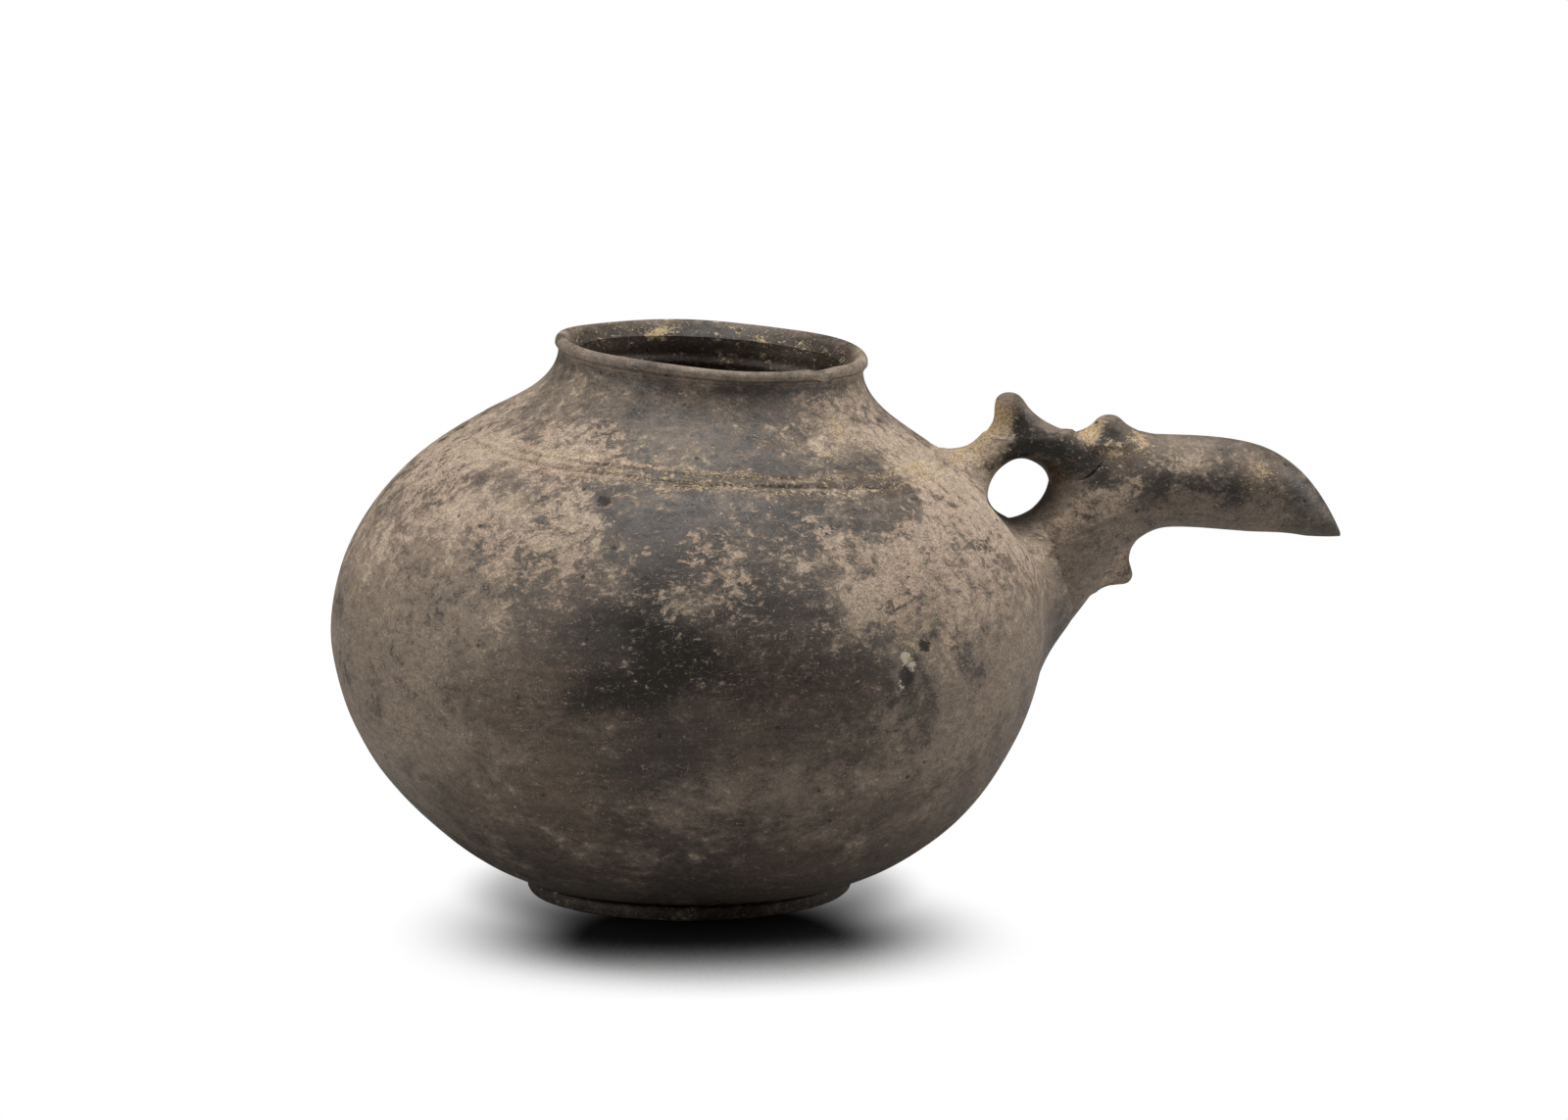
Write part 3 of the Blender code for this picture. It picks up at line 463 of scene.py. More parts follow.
# earth, soot and ochre on the skin, with painted light and shade on the spout: (place, radius, strength), in
# metres
crustAndLightZones = (
    # front of the pot
    ((-0.076, -0.007, 0.133), 0.030, 0.62), ((-0.073, -0.043, 0.125), 0.020, 0.30),
    ((-0.044, -0.044, 0.142), 0.018, 0.30), ((-0.049, -0.067, 0.126), 0.014, 0.38),
    ((-0.066, -0.064, 0.117), 0.020, 0.28), ((-0.057, -0.080, 0.106), 0.018, 0.20),
    ((-0.019, -0.088, 0.119), 0.014, 0.32), ((-0.003, -0.096, 0.111), 0.015, 0.22),
    ((0.036, -0.088, 0.111), 0.018, 0.38), ((0.050, -0.081, 0.113), 0.018, 0.36),
    ((0.040, -0.093, 0.101), 0.014, 0.32), ((0.022, -0.084, 0.119), 0.010, 0.34),
    ((0.075, -0.060, 0.111), 0.026, 0.40), ((0.081, -0.053, 0.109), 0.012, 0.28),
    ((0.072, -0.035, 0.126), 0.022, 0.62), ((0.050, -0.032, 0.146), 0.018, 0.50),
    ((0.085, -0.004, 0.131), 0.018, 0.62), ((0.062, -0.082, 0.092), 0.016, 0.26),
    ((0.084, -0.062, 0.084), 0.018, 0.12), ((-0.037, -0.034, 0.148), 0.014, 0.10),
    ((0.030, -0.040, 0.150), 0.014, 0.34), ((0.047, -0.091, 0.061), 0.014, 0.08),
    ((-0.016, -0.082, 0.030), 0.024, 0.05),
    # spout, strap and horns: crust; a painted highlight along the beak's top; crust and painted light on horns'
    # left faces
    ((0.094, -0.038, 0.098), 0.020, 0.34), ((0.125, -0.014, 0.115), 0.008, 0.62),
    ((0.118, -0.013, 0.112), 0.007, 0.56), ((0.131, -0.013, 0.120), 0.006, 0.56),
    ((0.139, -0.012, 0.124), 0.005, 0.60), ((0.146, -0.011, 0.126), 0.005, 0.56),
    ((0.153, -0.010, 0.126), 0.005, 0.54), ((0.161, -0.010, 0.1245), 0.005, 0.46),
    ((0.170, -0.009, 0.122), 0.006, 0.56), ((0.176, -0.010, 0.118), 0.005, 0.40),
    ((0.129, -0.004, 0.091), 0.010, 0.95), ((0.0905, -0.004, 0.137), 0.007, 1.00),
    ((0.1215, -0.004, 0.135), 0.006, 1.00), ((0.110, -0.016, 0.108), 0.008, 0.45),
    ((0.093, -0.030, 0.107), 0.018, 0.60), ((0.106, -0.016, 0.101), 0.010, 0.44),
    # back
    ((-0.030, 0.090, 0.112), 0.050, 0.34), ((0.060, 0.070, 0.110), 0.040, 0.38),
    ((-0.085, 0.050, 0.100), 0.035, 0.26),
)
filmAndLightZones = (
    # front of the pot
    ((-0.092, -0.040, 0.100), 0.038, 0.60), ((-0.102, -0.022, 0.072), 0.042, 0.62),
    ((-0.105, 0.000, 0.086), 0.030, 0.72), ((-0.076, -0.010, 0.130), 0.040, 0.35),
    ((-0.015, -0.044, 0.152), 0.024, 0.16), ((0.080, -0.064, 0.086), 0.034, 0.46),
    ((0.084, -0.044, 0.114), 0.016, 0.30), ((0.078, -0.030, 0.126), 0.026, 0.55),
    ((0.040, -0.086, 0.110), 0.022, 0.30), ((0.050, -0.035, 0.145), 0.020, 0.35),
    ((0.064, -0.078, 0.062), 0.034, 0.54), ((0.000, -0.095, 0.048), 0.024, 0.22),
    # spout, strap and horns: film, with painted light on the beak's top and underside and a painted sheen on
    # the saddle
    ((0.090, -0.045, 0.105), 0.030, 0.50), ((0.086, 0.000, 0.130), 0.020, 0.45),
    ((0.128, -0.004, 0.088), 0.014, 1.00), ((0.150, -0.004, 0.129), 0.014, 0.30),
    ((0.114, -0.015, 0.103), 0.016, 0.58), ((0.148, -0.013, 0.109), 0.014, 0.56),
    ((0.172, -0.011, 0.106), 0.014, 0.56), ((0.112, -0.001, 0.1335), 0.005, 0.90),
    ((0.130, -0.014, 0.106), 0.012, 0.42),
    # back
    ((0.000, 0.100, 0.090), 0.070, 0.42), ((-0.060, 0.070, 0.110), 0.050, 0.30),
)
bareZones = (
    # front of the pot
    ((-0.034, -0.076, 0.127), 0.014, 0.40), ((0.017, -0.081, 0.126), 0.020, 0.24),
    ((0.041, -0.066, 0.130), 0.014, 0.12), ((-0.064, -0.042, 0.132), 0.009, 0.40),
    ((-0.060, -0.084, 0.080), 0.022, 0.14), ((-0.060, -0.058, 0.124), 0.007, 0.30),
    ((-0.012, -0.046, 0.151), 0.022, 0.22),
)
sootAndShadeZones = (
    # front of the pot
    ((-0.030, -0.100, 0.091), 0.015, 1.10), ((-0.040, -0.097, 0.083), 0.013, 0.76),
    ((-0.046, -0.091, 0.096), 0.010, 0.35), ((-0.014, -0.104, 0.086), 0.014, 0.35),
    ((-0.027, -0.090, 0.111), 0.010, 0.35), ((0.006, -0.106, 0.086), 0.022, 0.48),
    ((0.030, -0.102, 0.080), 0.020, 0.18), ((-0.042, -0.094, 0.070), 0.022, 0.20),
    # painted shade: the first place on the next line darkens the front low down, by the foot
    ((0.000, -0.060, 0.010), 0.040, 0.30), ((0.045, -0.095, 0.083), 0.004, 0.75),
    ((0.050, -0.091, 0.090), 0.003, 0.75), ((0.046, -0.096, 0.076), 0.004, 0.60),
    # spout, strap and horns: blackening, and painted shade on the horns' front faces, eye's edge and beak's
    # middle
    ((0.100, -0.005, 0.138), 0.005, 1.00), ((0.104, -0.006, 0.132), 0.006, 0.90),
    ((0.113, -0.007, 0.129), 0.007, 0.85), ((0.128, -0.006, 0.132), 0.0045, 1.10),
    ((0.121, -0.010, 0.126), 0.007, 0.60), ((0.099, -0.007, 0.127), 0.005, 0.75),
    ((0.090, -0.008, 0.124), 0.004, 0.60), ((0.100, 0.000, 0.1245), 0.007, 0.85),
    ((0.108, -0.004, 0.121), 0.005, 0.36), ((0.140, -0.014, 0.117), 0.008, 0.44),
    ((0.152, -0.014, 0.119), 0.008, 0.50), ((0.163, -0.013, 0.117), 0.007, 0.50),
    ((0.173, -0.011, 0.1155), 0.006, 0.32), ((0.182, -0.009, 0.114), 0.007, 0.36),
    ((0.118, -0.014, 0.121), 0.006, 0.40),
    # back
    ((-0.062, 0.080, 0.085), 0.024, 0.70), ((0.070, 0.070, 0.060), 0.030, 0.40),
    ((-0.010, 0.100, 0.070), 0.016, 0.35),
)
ochreZones = (
    # front of the pot
    ((0.013, -0.057, 0.143), 0.0035, 0.55), ((0.020, -0.053, 0.148), 0.0035, 0.45),
    ((0.030, -0.051, 0.144), 0.004, 0.55), ((0.040, -0.046, 0.141), 0.006, 0.50),
    ((0.060, -0.038, 0.134), 0.010, 0.22), ((0.048, -0.094, 0.087), 0.003, 0.65),
    ((0.047, -0.095, 0.080), 0.003, 0.55),
    # spout, strap and horns
    ((0.173, -0.011, 0.120), 0.006, 0.40), ((0.136, -0.006, 0.130), 0.004, 0.70),
    ((0.0915, -0.002, 0.139), 0.006, 1.00), ((0.127, -0.009, 0.128), 0.004, 0.55),
    ((0.1220, -0.003, 0.1350), 0.005, 0.95), ((0.086, -0.004, 0.130), 0.009, 0.48),
    ((0.108, -0.010, 0.120), 0.005, 0.30), ((0.100, -0.020, 0.112), 0.010, 0.18),
    # lip
    ((0.000, 0.0447, 0.1640), 0.0045, 0.62), ((0.009, 0.0443, 0.1632), 0.005, 0.52),
    ((0.030, 0.0375, 0.1618), 0.006, 0.20),
)
zoneScale = 0.85  # of every radius above


def zoneSum(points, zones):
    # sum of the zones' bells by their strengths
    return sum(strength * bump(points, at, radius * zoneScale) for at, radius, strength in zones)


def grooveHeight(points):
    # height above the leaned plane of the incised lines
    a = math.radians(body["lean"])
    origin = bodySkin(arcGroove, math.pi / 2, 0.0)
    return (points - origin) @ np.array([math.sin(a), 0.0, math.cos(a)])


# how the layers lie: steps are (where, over what length), weights are shares of the layer named
# heights in lineCoat and lipCoat are from the plane of the incised lines, radii from the leaned axis
coat = {
    "potEnd": (0.088, 0.012), "alike": (0.060, 0.045), "warpSpout": 0.0010, "warpPot": 0.0025,
    "driftShifts": (0.0, 0.1, 0.2),
    "footShade": ((0.030, 0.03, 0.18), (0.007, 0.003, 0.22)), "high": (0.050, 0.06),
    "crust": 0.03, "crustPot": 0.04, "crustHigh": 0.22, "crustLessSootAndShade": 0.40,
    "film": 0.30, "filmHigh": 0.08, "filmLessSootAndShade": 0.60, "filmByCrust": 0.50, "crustSpan": (0.25, 0.6),
    "front": (0.02, 0.04), "axisLean": 0.0698,
}
lineCoat = {
    "wobble": 0.0005, "drop": 0.0028, "upperWidth": 0.0009, "lowerWidth": 0.0014, "lowerShare": 0.9,
    "farthest": 0.078, "lowest": 0.12, "ochre": 0.30, "behind": 0.35, "soot": 0.7, "sootWidth": 0.0004,
    "crust": 0.20,
}
lipCoat = {
    "edge": 0.0280, "neckRun": 0.008, "neckOut": 0.056, "out": 0.052, "step": (0.007, 0.003), "film": 0.22,
    "pale": 0.16, "paleWidth": 0.0009, "bare": 0.20, "bareStep": (0.008, 0.004), "neckBare": 0.06,
    "shade": 0.28, "shadeBelow": 0.0062, "shadeWidth": 0.0020, "shadeIn": 0.0435, "shadeLoss": 0.50,
    "mouth": (0.0450, 0.0012), "mouthBelow": (0.0004, 0.0032), "floor": 0.02,
    "insideCrust": -0.3, "insideShade": 0.36, "insideOchre": 0.09, "insideFilm": -0.50,
    "back": (0.0475, 0.002), "backSoot": 0.20, "backOchre": 0.07, "backFilm": -0.30,
}


def layersAt(points):
    # shares of crust, soot, ochre and thin earth film at each point, by place and height
    x, y, z = points.T
    onPot = under(x, coat["potEnd"])
    drift = np.stack([swell(points + k, handWave) for k in coat["driftShifts"]], axis=-1)
    warped = points + (coat["warpSpout"] + coat["warpPot"] * onPot)[:, None] * drift
    mirrored = np.stack([warped[:, 0], -np.abs(warped[:, 1]), warped[:, 2]], axis=-1)
    alike = over(x, coat["alike"])  # both sides of the spout are alike

    def marks(zones):
        return zoneSum(warped, zones) * (1 - alike) + zoneSum(mirrored, zones) * alike

    # broad layers
    # the soot marks also paint shade, and the crust and film marks paint light
    bare, high = marks(bareZones), over(z, coat["high"])
    # painted shade: darker towards the foot, added to the soot share
    soot = marks(sootAndShadeZones) + sum(share * under(z, (top, run)) for top, run, share in coat["footShade"])
    crust = coat["crust"] + (coat["crustPot"] + coat["crustHigh"] * high) * onPot + marks(crustAndLightZones)
    crust = crust - bare - coat["crustLessSootAndShade"] * soot
    film = coat["film"] + coat["filmHigh"] * high * onPot + marks(filmAndLightZones)
    film = film - bare - coat["filmLessSootAndShade"] * soot
    film = film + coat["filmByCrust"] * np.clip(crust - coat["crustSpan"][0], 0.0, coat["crustSpan"][1])

    # incised lines: ochre in both, soot in the lower one
    front = under(y, coat["front"])
    away = np.hypot(x - body["shift"] - coat["axisLean"] * np.maximum(z - body["belly"][1], 0.0), y)
    height = grooveHeight(points)
    upper = height + lineCoat["wobble"] * swell(points, handWave)
    lower = upper + lineCoat["drop"]
    onBody = (away < lineCoat["farthest"]) & (z > lineCoat["lowest"])
    inLine = bell(upper, lineCoat["upperWidth"]) + lineCoat["lowerShare"] * bell(lower, lineCoat["lowerWidth"])
    seen = lineCoat["behind"] + (1 - lineCoat["behind"]) * front
    ochre = marks(ochreZones) + lineCoat["ochre"] * inLine * onBody * seen
    soot = soot + lineCoat["soot"] * bell(lower, lineCoat["sootWidth"]) * onBody * front

    # neck and lip: pale worn edge, painted shade under it and inside the mouth, browner at the back
    rise = height - lipCoat["edge"]
    lip = smooth((rise + lipCoat["step"][0]) / lipCoat["step"][1]) * (away < lipCoat["out"])
    bared = smooth((rise + lipCoat["bareStep"][0]) / lipCoat["bareStep"][1])
    worn = lipCoat["pale"] * bell(rise, lipCoat["paleWidth"]) - lipCoat["bare"] * bared - lipCoat["neckBare"]
    worn = worn * smooth(height / lipCoat["neckRun"]) * (away < lipCoat["neckOut"])
    shade = lipCoat["shade"] * bell(rise + lipCoat["shadeBelow"], lipCoat["shadeWidth"]) * front
    shade = shade * ((away > lipCoat["shadeIn"]) & (away < lipCoat["out"]))
    # painted shade inside the mouth: more soot share, less crust and film
    inside = under(away, lipCoat["mouth"]) * over(-rise, lipCoat["mouthBelow"]) * (z > lipCoat["floor"])
    back = lip * (1 - front) * under(away, lipCoat["back"])
    crust = crust + lineCoat["crust"] * inLine * onBody + worn + lipCoat["insideCrust"] * inside
    # the soot share also takes the painted shade under the lip and inside the mouth
    soot = soot + shade + lipCoat["insideShade"] * inside + lipCoat["backSoot"] * back
    ochre = ochre + lipCoat["insideOchre"] * inside + lipCoat["backOchre"] * back
    film = film + lipCoat["film"] * lip + lipCoat["insideFilm"] * inside + lipCoat["backFilm"] * back
    shares = (crust - lipCoat["shadeLoss"] * shade, soot, ochre, film - lipCoat["shadeLoss"] * shade)
    return np.clip(np.stack(shares, axis=-1), 0.0, 1.0)


def addPiece(name, mesh, material):
    # a piece on the body, standing for the node of the same name
    points = np.empty(len(mesh.vertices) * 3)
    mesh.vertices.foreach_get("co", points)
    layer = mesh.attributes.new("layers", "FLOAT_COLOR", "POINT")
    layer.data.foreach_set("color", layersAt(points.reshape(-1, 3)).ravel())
    mesh.materials.append(material)
    piece = bpy.data.objects.new(name + "_clay", mesh)
    bpy.context.collection.objects.link(piece)
    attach(piece, "root")
    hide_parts(name)


# clay: burnished ground, soot, earth film, broken crust and ochre, mixed by the layers on the skin, with
# painted light and shade
tones = {
    "slate": (0.056, 0.0468, 0.0388), "brown": (0.066, 0.047, 0.033), "film": (0.222, 0.171, 0.128),
    "crust": (0.385, 0.304, 0.224), "pink": (0.370, 0.276, 0.204), "soot": (0.0135, 0.0105, 0.0072),
    "ochre": (0.400, 0.262, 0.118), "straw": (0.470, 0.370, 0.235), "chalk": (0.560, 0.480, 0.380),
}
# how a share becomes cover (gain, offset), how dense each layer is, and gloss and relief
clay = {
    "noiseMean": 0.5, "noiseGain": 15.5, "filmGain": (3.6, 1.7), "crustGain": (3.8, 1.9), "brownByOchre": 10.0,
    "pitScale": 210.0, "spotEdge": (1.15, 0.75),
    "film": 0.88, "soot": 0.93, "lost": 0.72, "ochre": 0.72, "wisp": 0.42, "pit": 0.8, "spot": 0.92,
    "gloss": 0.32, "crustRough": 0.32, "filmRough": 0.16, "reliefStrength": 0.6, "reliefHeight": 0.0005,
}
# noises: scale, detail, roughness and distortion, then any stretch and turn of the space
noises = {
    "macro": (20.0, 3.0, 0.55, 0.0),
    "patch": (42.0, 6.0, 0.66, 0.4, (1.0, 1.0, 1.25)),
    "flake": (240.0, 9.0, 0.78, 0.4, (1.0, 1.0, 1.35), (0.1, 0.4, 0.0)),
    "fleck": (1.0, 6.0, 0.70, 0.6, (330.0, 400.0, 760.0), (0.25, 0.5, 0.15)),
    "grain": (1500.0, 3.0, 0.65, 0.0),
    "stroke": (1.0, 5.0, 0.62, 0.2, (22.0, 22.0, 470.0)),
    "rub": (1.0, 3.0, 0.55, 1.4, (55.0, 55.0, 150.0)),
}
# weights with which noises and layers are added up
mixes = {
    "mottle": {"fleck": 0.6, "patch": 0.7},
    "filmBreak": {"patch": 0.55, "flake": 0.42, "fleck": 0.32},
    "sootEdge": {"soot": 1.0, "flake": 0.14, "patch": 0.15, "fleck": 0.10},
    "crustBreak": {"patch": 0.40, "flake": 0.76, "fleck": 0.46, "grain": 0.18},
    "crumb": {"grain": 0.7, "fleck": 0.7},
    "lost": {"flake": 0.85, "fleck": 0.40, "patch": 0.45},
    "speck": {"fleck": 0.70, "grain": 0.45, "flake": -0.45},
    "ochreEdge": {"ochre": 1.0, "flake": 0.11, "fleck": 0.10, "grain": 0.05},
    "spotEdge": {"flake": 0.00045, "fleck": 0.00035},
    "relief": {"crust": 0.40, "grain": 0.012, "flake": 0.035, "stroke": 0.014, "lost": -0.25, "pit": -0.9},
}
# smooth steps: from and to of the value, then of what it gives where that isn't 0 to 1
steps = {
    "spoutPatch": (0.088, 0.106, 1.0, 0.40),
    "brownBelow": (0.118, 0.060), "brownCloud": (-2.0, 2.0, -0.4, 0.4),
    "strokeCloud": (-2.0, 2.0, 0.84, 1.16), "macroCloud": (-2.0, 2.0, 0.70, 1.28),
    "mottle": (-2.0, 2.0, 0.58, 1.48),
    "film": (-1.3, 1.3), "filmTone": (-2.0, 2.0, 0.74, 1.26),
    "soot": (0.12, 0.80),
    "crust": (-0.15, 0.40), "pink": (-1.2, 1.2), "crumb": (-2.2, 2.2, 0.78, 1.18),
    "crustThin": (-1.6, 1.2, 0.95, 0.55),
    "lost": (1.05, 1.30), "speck": (1.60, 2.20, 0.0, 0.40),
    "ochre": (0.24, 0.56), "straw": (-1.0, 1.0),
    "wisp": (0.16, 0.0), "wispPart": (-0.4, 1.2),
    "pitEdge": (0.20, 0.08), "pitPick": (0.88, 0.92), "grainTone": (-2.2, 2.2, 0.82, 1.20),
    "polish": (-2.0, 2.0, 0.42, 0.58),
}
# pits and crumbs at set places, as (place, radius) under their tone
spots = {
    "soot": (((-0.039, -0.067, 0.131), 0.0021), ((-0.008, -0.103, 0.061), 0.0010),
             ((-0.059, -0.077, 0.046), 0.0012), ((-0.031, -0.091, 0.112), 0.0010),
             ((0.0455, -0.095, 0.081), 0.0026), ((0.0515, -0.0912, 0.0895), 0.0020),
             ((0.0462, -0.0958, 0.0755), 0.0018)),
    "chalk": (((0.0448, -0.0950, 0.0865), 0.0018), ((0.0475, -0.0943, 0.0835), 0.0016),
              ((0.0440, -0.0966, 0.0785), 0.0014)),
}


def nodeMaker(tree):
    # a function that adds a node with its properties, and links or sets its inputs
    def add(kind, values=None, **props):
        made = tree.nodes.new("ShaderNode" + kind)
        for key, value in props.items():
            setattr(made, key, value)
        for key, value in (values or {}).items():
            if hasattr(value, "is_output"):
                tree.links.new(value, made.inputs[key])
            else:
                made.inputs[key].default_value = value
        return made

    return add


def clayMaterial(name):
    # one network for every slot: each layer covers the last where its share, roughened by noise, is high enough
    material = bpy.data.materials.new(name)
    material.use_nodes = True
    tree = material.node_tree
    shader = tree.nodes["Principled BSDF"]
    add = nodeMaker(tree)

    def calc(operation, a, b=0.0, clamp=False):
        return add("Math", {0: a, 1: b}, operation=operation, use_clamp=clamp).outputs[0]

    def ramp(value, low, high, a=0.0, b=1.0):
        keys = {"Value": value, "From Min": low, "From Max": high, "To Min": a, "To Max": b}
        return add("MapRange", keys, interpolation_type="SMOOTHSTEP").outputs[0]

    def step(value, key):
        return ramp(value, *steps[key])

    def blend(share, a, b, how="MIX"):
        return add("Mix", {0: share, 6: a, 7: b}, data_type="RGBA", blend_type=how).outputs[2]

    def stretched(scale, turn=(0.0, 0.0, 0.0)):
        return add("Mapping", {"Vector": pos, "Rotation": turn, "Scale": scale}).outputs[0]

    def noise(scale, detail, rough, distortion, *space):
        # fractal noise, brought to a mean of zero and a spread of about one
        keys = {"Vector": stretched(*space) if space else pos, "Scale": scale, "Detail": detail,
                "Roughness": rough, "Distortion": distortion}
        off = calc("SUBTRACT", add("TexNoise", keys).outputs["Fac"], clay["noiseMean"])
        return calc("MULTIPLY", off, clay["noiseGain"])

    def total(key):
        # weighted sum of the parts that the mix names
        first, *others = (calc("MULTIPLY", parts[name], weight) for name, weight in mixes[key].items())
        for term in others:
            first = calc("ADD", first, term)
        return first

    def cover(share, key):
        # share * gain - offset
        gain, offset = clay[key]
        return calc("SUBTRACT", calc("MULTIPLY", share, gain), offset)

    def tone(key):
        return (*tones[key], 1.0)

    pos = add("TexCoord").outputs["Object"]
    ahead, _, height = add("SeparateXYZ", {"Vector": pos}).outputs
    layer = add("Attribute", attribute_name="layers")
    crustAndLightShare, sootAndShadeShare, ochreShare = add("SeparateColor", {"Color": layer.outputs["Color"]}).outputs
    filmAndLightShare = layer.outputs["Alpha"]

    parts = {key: noise(*values) for key, values in noises.items()}
    parts["patch"] = calc("MULTIPLY", parts["patch"], step(ahead, "spoutPatch"))  # weaker on the narrow spout
    macro, patch, flake, fleck, grain, stroke, rub = (parts[key] for key in noises)
    parts["soot"], parts["ochre"] = sootAndShadeShare, ochreShare

    # ground: slate above, browner below, with burnish strokes and clouds
    brownShare = calc("MULTIPLY", ochreShare, clay["brownByOchre"])
    brownShare = calc("ADD", step(height, "brownBelow"), brownShare)
    brownShare = calc("ADD", brownShare, step(macro, "brownCloud"), True)
    cloud = calc("MULTIPLY", step(stroke, "strokeCloud"), step(macro, "macroCloud"))
    cloud = calc("MULTIPLY", cloud, step(total("mottle"), "mottle"))
    ground = blend(1.0, blend(brownShare, tone("slate"), tone("brown")), cloud, "MULTIPLY")

    # thin film, worn through in dark specks; its layer also paints light on the beak and a sheen on the saddle
    filmAndLightOn = step(calc("SUBTRACT", cover(filmAndLightShare, "filmGain"), total("filmBreak")), "film")
    filmTone = blend(1.0, tone("film"), step(fleck, "filmTone"), "MULTIPLY")
    colour = blend(calc("MULTIPLY", filmAndLightOn, clay["film"]), ground, filmTone)

    # soot, and the painted shade in the same layer, with a soft, flaked edge
    sootAndShadeOn = step(total("sootEdge"), "soot")
    colour = blend(calc("MULTIPLY", sootAndShadeOn, clay["soot"]), colour, tone("soot"))

    # crust, and the painted light in the same layer, broken into flakes: kept where the mixed noise lies under
    # the share
    crustAndLightOn = step(calc("SUBTRACT", cover(crustAndLightShare, "crustGain"), total("crustBreak")), "crust")
    crustTone = blend(step(patch, "pink"), tone("crust"), tone("pink"))
    crustTone = blend(1.0, crustTone, step(total("crumb"), "crumb"), "MULTIPLY")
    colour = blend(calc("MULTIPLY", crustAndLightOn, step(flake, "crustThin")), colour, crustTone)

    # crisp flakes lost from film and crust alike, and pale flecks in the dark
    lost = step(total("lost"), "lost")
    colour = blend(calc("MULTIPLY", lost, clay["lost"]), colour, ground)
    colour = blend(step(total("speck"), "speck"), colour, tone("film"))

    # ochre, from yellow-brown to straw
    ochreOn = step(total("ochreEdge"), "ochre")
    ochreTone = blend(step(grain, "straw"), tone("ochre"), tone("straw"))
    colour = blend(calc("MULTIPLY", ochreOn, clay["ochre"]), colour, ochreTone)

    # fine pale wisps and scratches
    wisp = calc("MULTIPLY", step(calc("ABSOLUTE", rub), "wisp"), step(flake, "wispPart"))
    colour = blend(calc("MULTIPLY", wisp, clay["wisp"]), colour, tone("crust"))

    # small dark pits, a few of the cells
    cells = add("TexVoronoi", {"Vector": pos, "Scale": clay["pitScale"], "Randomness": 1.0})
    pick = add("SeparateColor", {"Color": cells.outputs["Color"]}).outputs[0]
    pit = calc("MULTIPLY", step(cells.outputs["Distance"], "pitEdge"), step(pick, "pitPick"))
    colour = blend(calc("MULTIPLY", pit, clay["pit"]), colour, tone("soot"))
    colour = blend(1.0, colour, step(grain, "grainTone"), "MULTIPLY")

    # pits and crumbs at set places, with ragged edges
    ragged, (outside, inside) = total("spotEdge"), clay["spotEdge"]
    for key, marks in spots.items():
        for at, radius in marks:
            gap = add("VectorMath", {0: pos, 1: at}, operation="DISTANCE").outputs["Value"]
            mark = ramp(calc("ADD", gap, ragged), radius * outside, radius * inside)
            colour = blend(calc("MULTIPLY", mark, clay["spot"]), colour, tone(key))

    tree.links.new(colour, shader.inputs["Base Color"])

    # burnish strokes shine, earth is dull; flakes stand out and pits sink in
    rough = step(stroke, "polish")
    rough = calc("ADD", rough, calc("MULTIPLY", calc("MAXIMUM", crustAndLightOn, ochreOn), clay["crustRough"]))
    rough = calc("ADD", rough, calc("MULTIPLY", filmAndLightOn, clay["filmRough"]), True)
    tree.links.new(rough, shader.inputs["Roughness"])
    shader.inputs["Specular IOR Level"].default_value = clay["gloss"]
    parts["crust"], parts["lost"], parts["pit"] = crustAndLightOn, lost, pit
    relief = {"Height": total("relief"), "Strength": clay["reliefStrength"], "Distance": clay["reliefHeight"]}
    tree.links.new(add("Bump", relief).outputs["Normal"], shader.inputs["Normal"])
    return material


slotNames = ("brown_greyware", "burnished_greyware", "buff_encrusted_clay", "blackened_clay")
brownClay, greyClay, buffClay, blackClay = (clayMaterial(name) for name in slotNames)
print("clay mixed")


# turned members

# pits, a chipped spot and the thumbed hollows beside the eye: (place, radius, depth)
dentZones = (
    ((-0.039, -0.067, 0.131), 0.0022, 0.0006), ((-0.008, -0.103, 0.061), 0.0022, 0.0007),
    ((-0.059, -0.077, 0.046), 0.0022, 0.0007), ((0.045, -0.095, 0.083), 0.0042, 0.0010),
    ((0.050, -0.092, 0.090), 0.0035, 0.0008), ((0.046, -0.096, 0.076), 0.0028, 0.0007),
    ((0.0920, -0.020, 0.1120), 0.0100, 0.0012), ((0.0920, 0.020, 0.1120), 0.0100, 0.0012),
)


def dents(points):
    # inward depth: a bell at each place
    return sum(depth * bump(points, at, radius) for at, radius, depth in dentZones)


def shell(outArcs, inArcs, profile=None):
    # outside rows, then inside rows a wall thickness in; the outside takes the potter's unevenness and marks
    turn = rings(body["around"])
    depth = profile(outArcs[:, None], turn) if profile else 0.0
    bare = bodySkin(outArcs[:, None], turn, 0.0)
    outer = bodySkin(outArcs[:, None], turn, handMade(bare, body["unevenness"]) - dents(bare) - depth)
    inner = bodySkin(inArcs[:, None], turn, -body["wall"])
    return outer, inner


# foot: (radius, height) along the profile, and how its edge is worn
foot = {
    "profile": ((0.004, 0.0), (0.030, 0.0), (0.0462, 0.0), (0.0472, 0.0001), (0.0478, 0.0005), (0.0481, 0.0011),
                (0.0482, 0.0022), (0.0481, 0.0032), (0.0479, 0.0038), (0.0476, 0.0042), (0.030, 0.0043),
                (0.004, 0.0043)),
    "around": 256, "wear": 0.00025, "wearBelow": 0.8, "deepest": 0.0008, "edge": (0.044, 0.003), "sole": 0.0004,
}


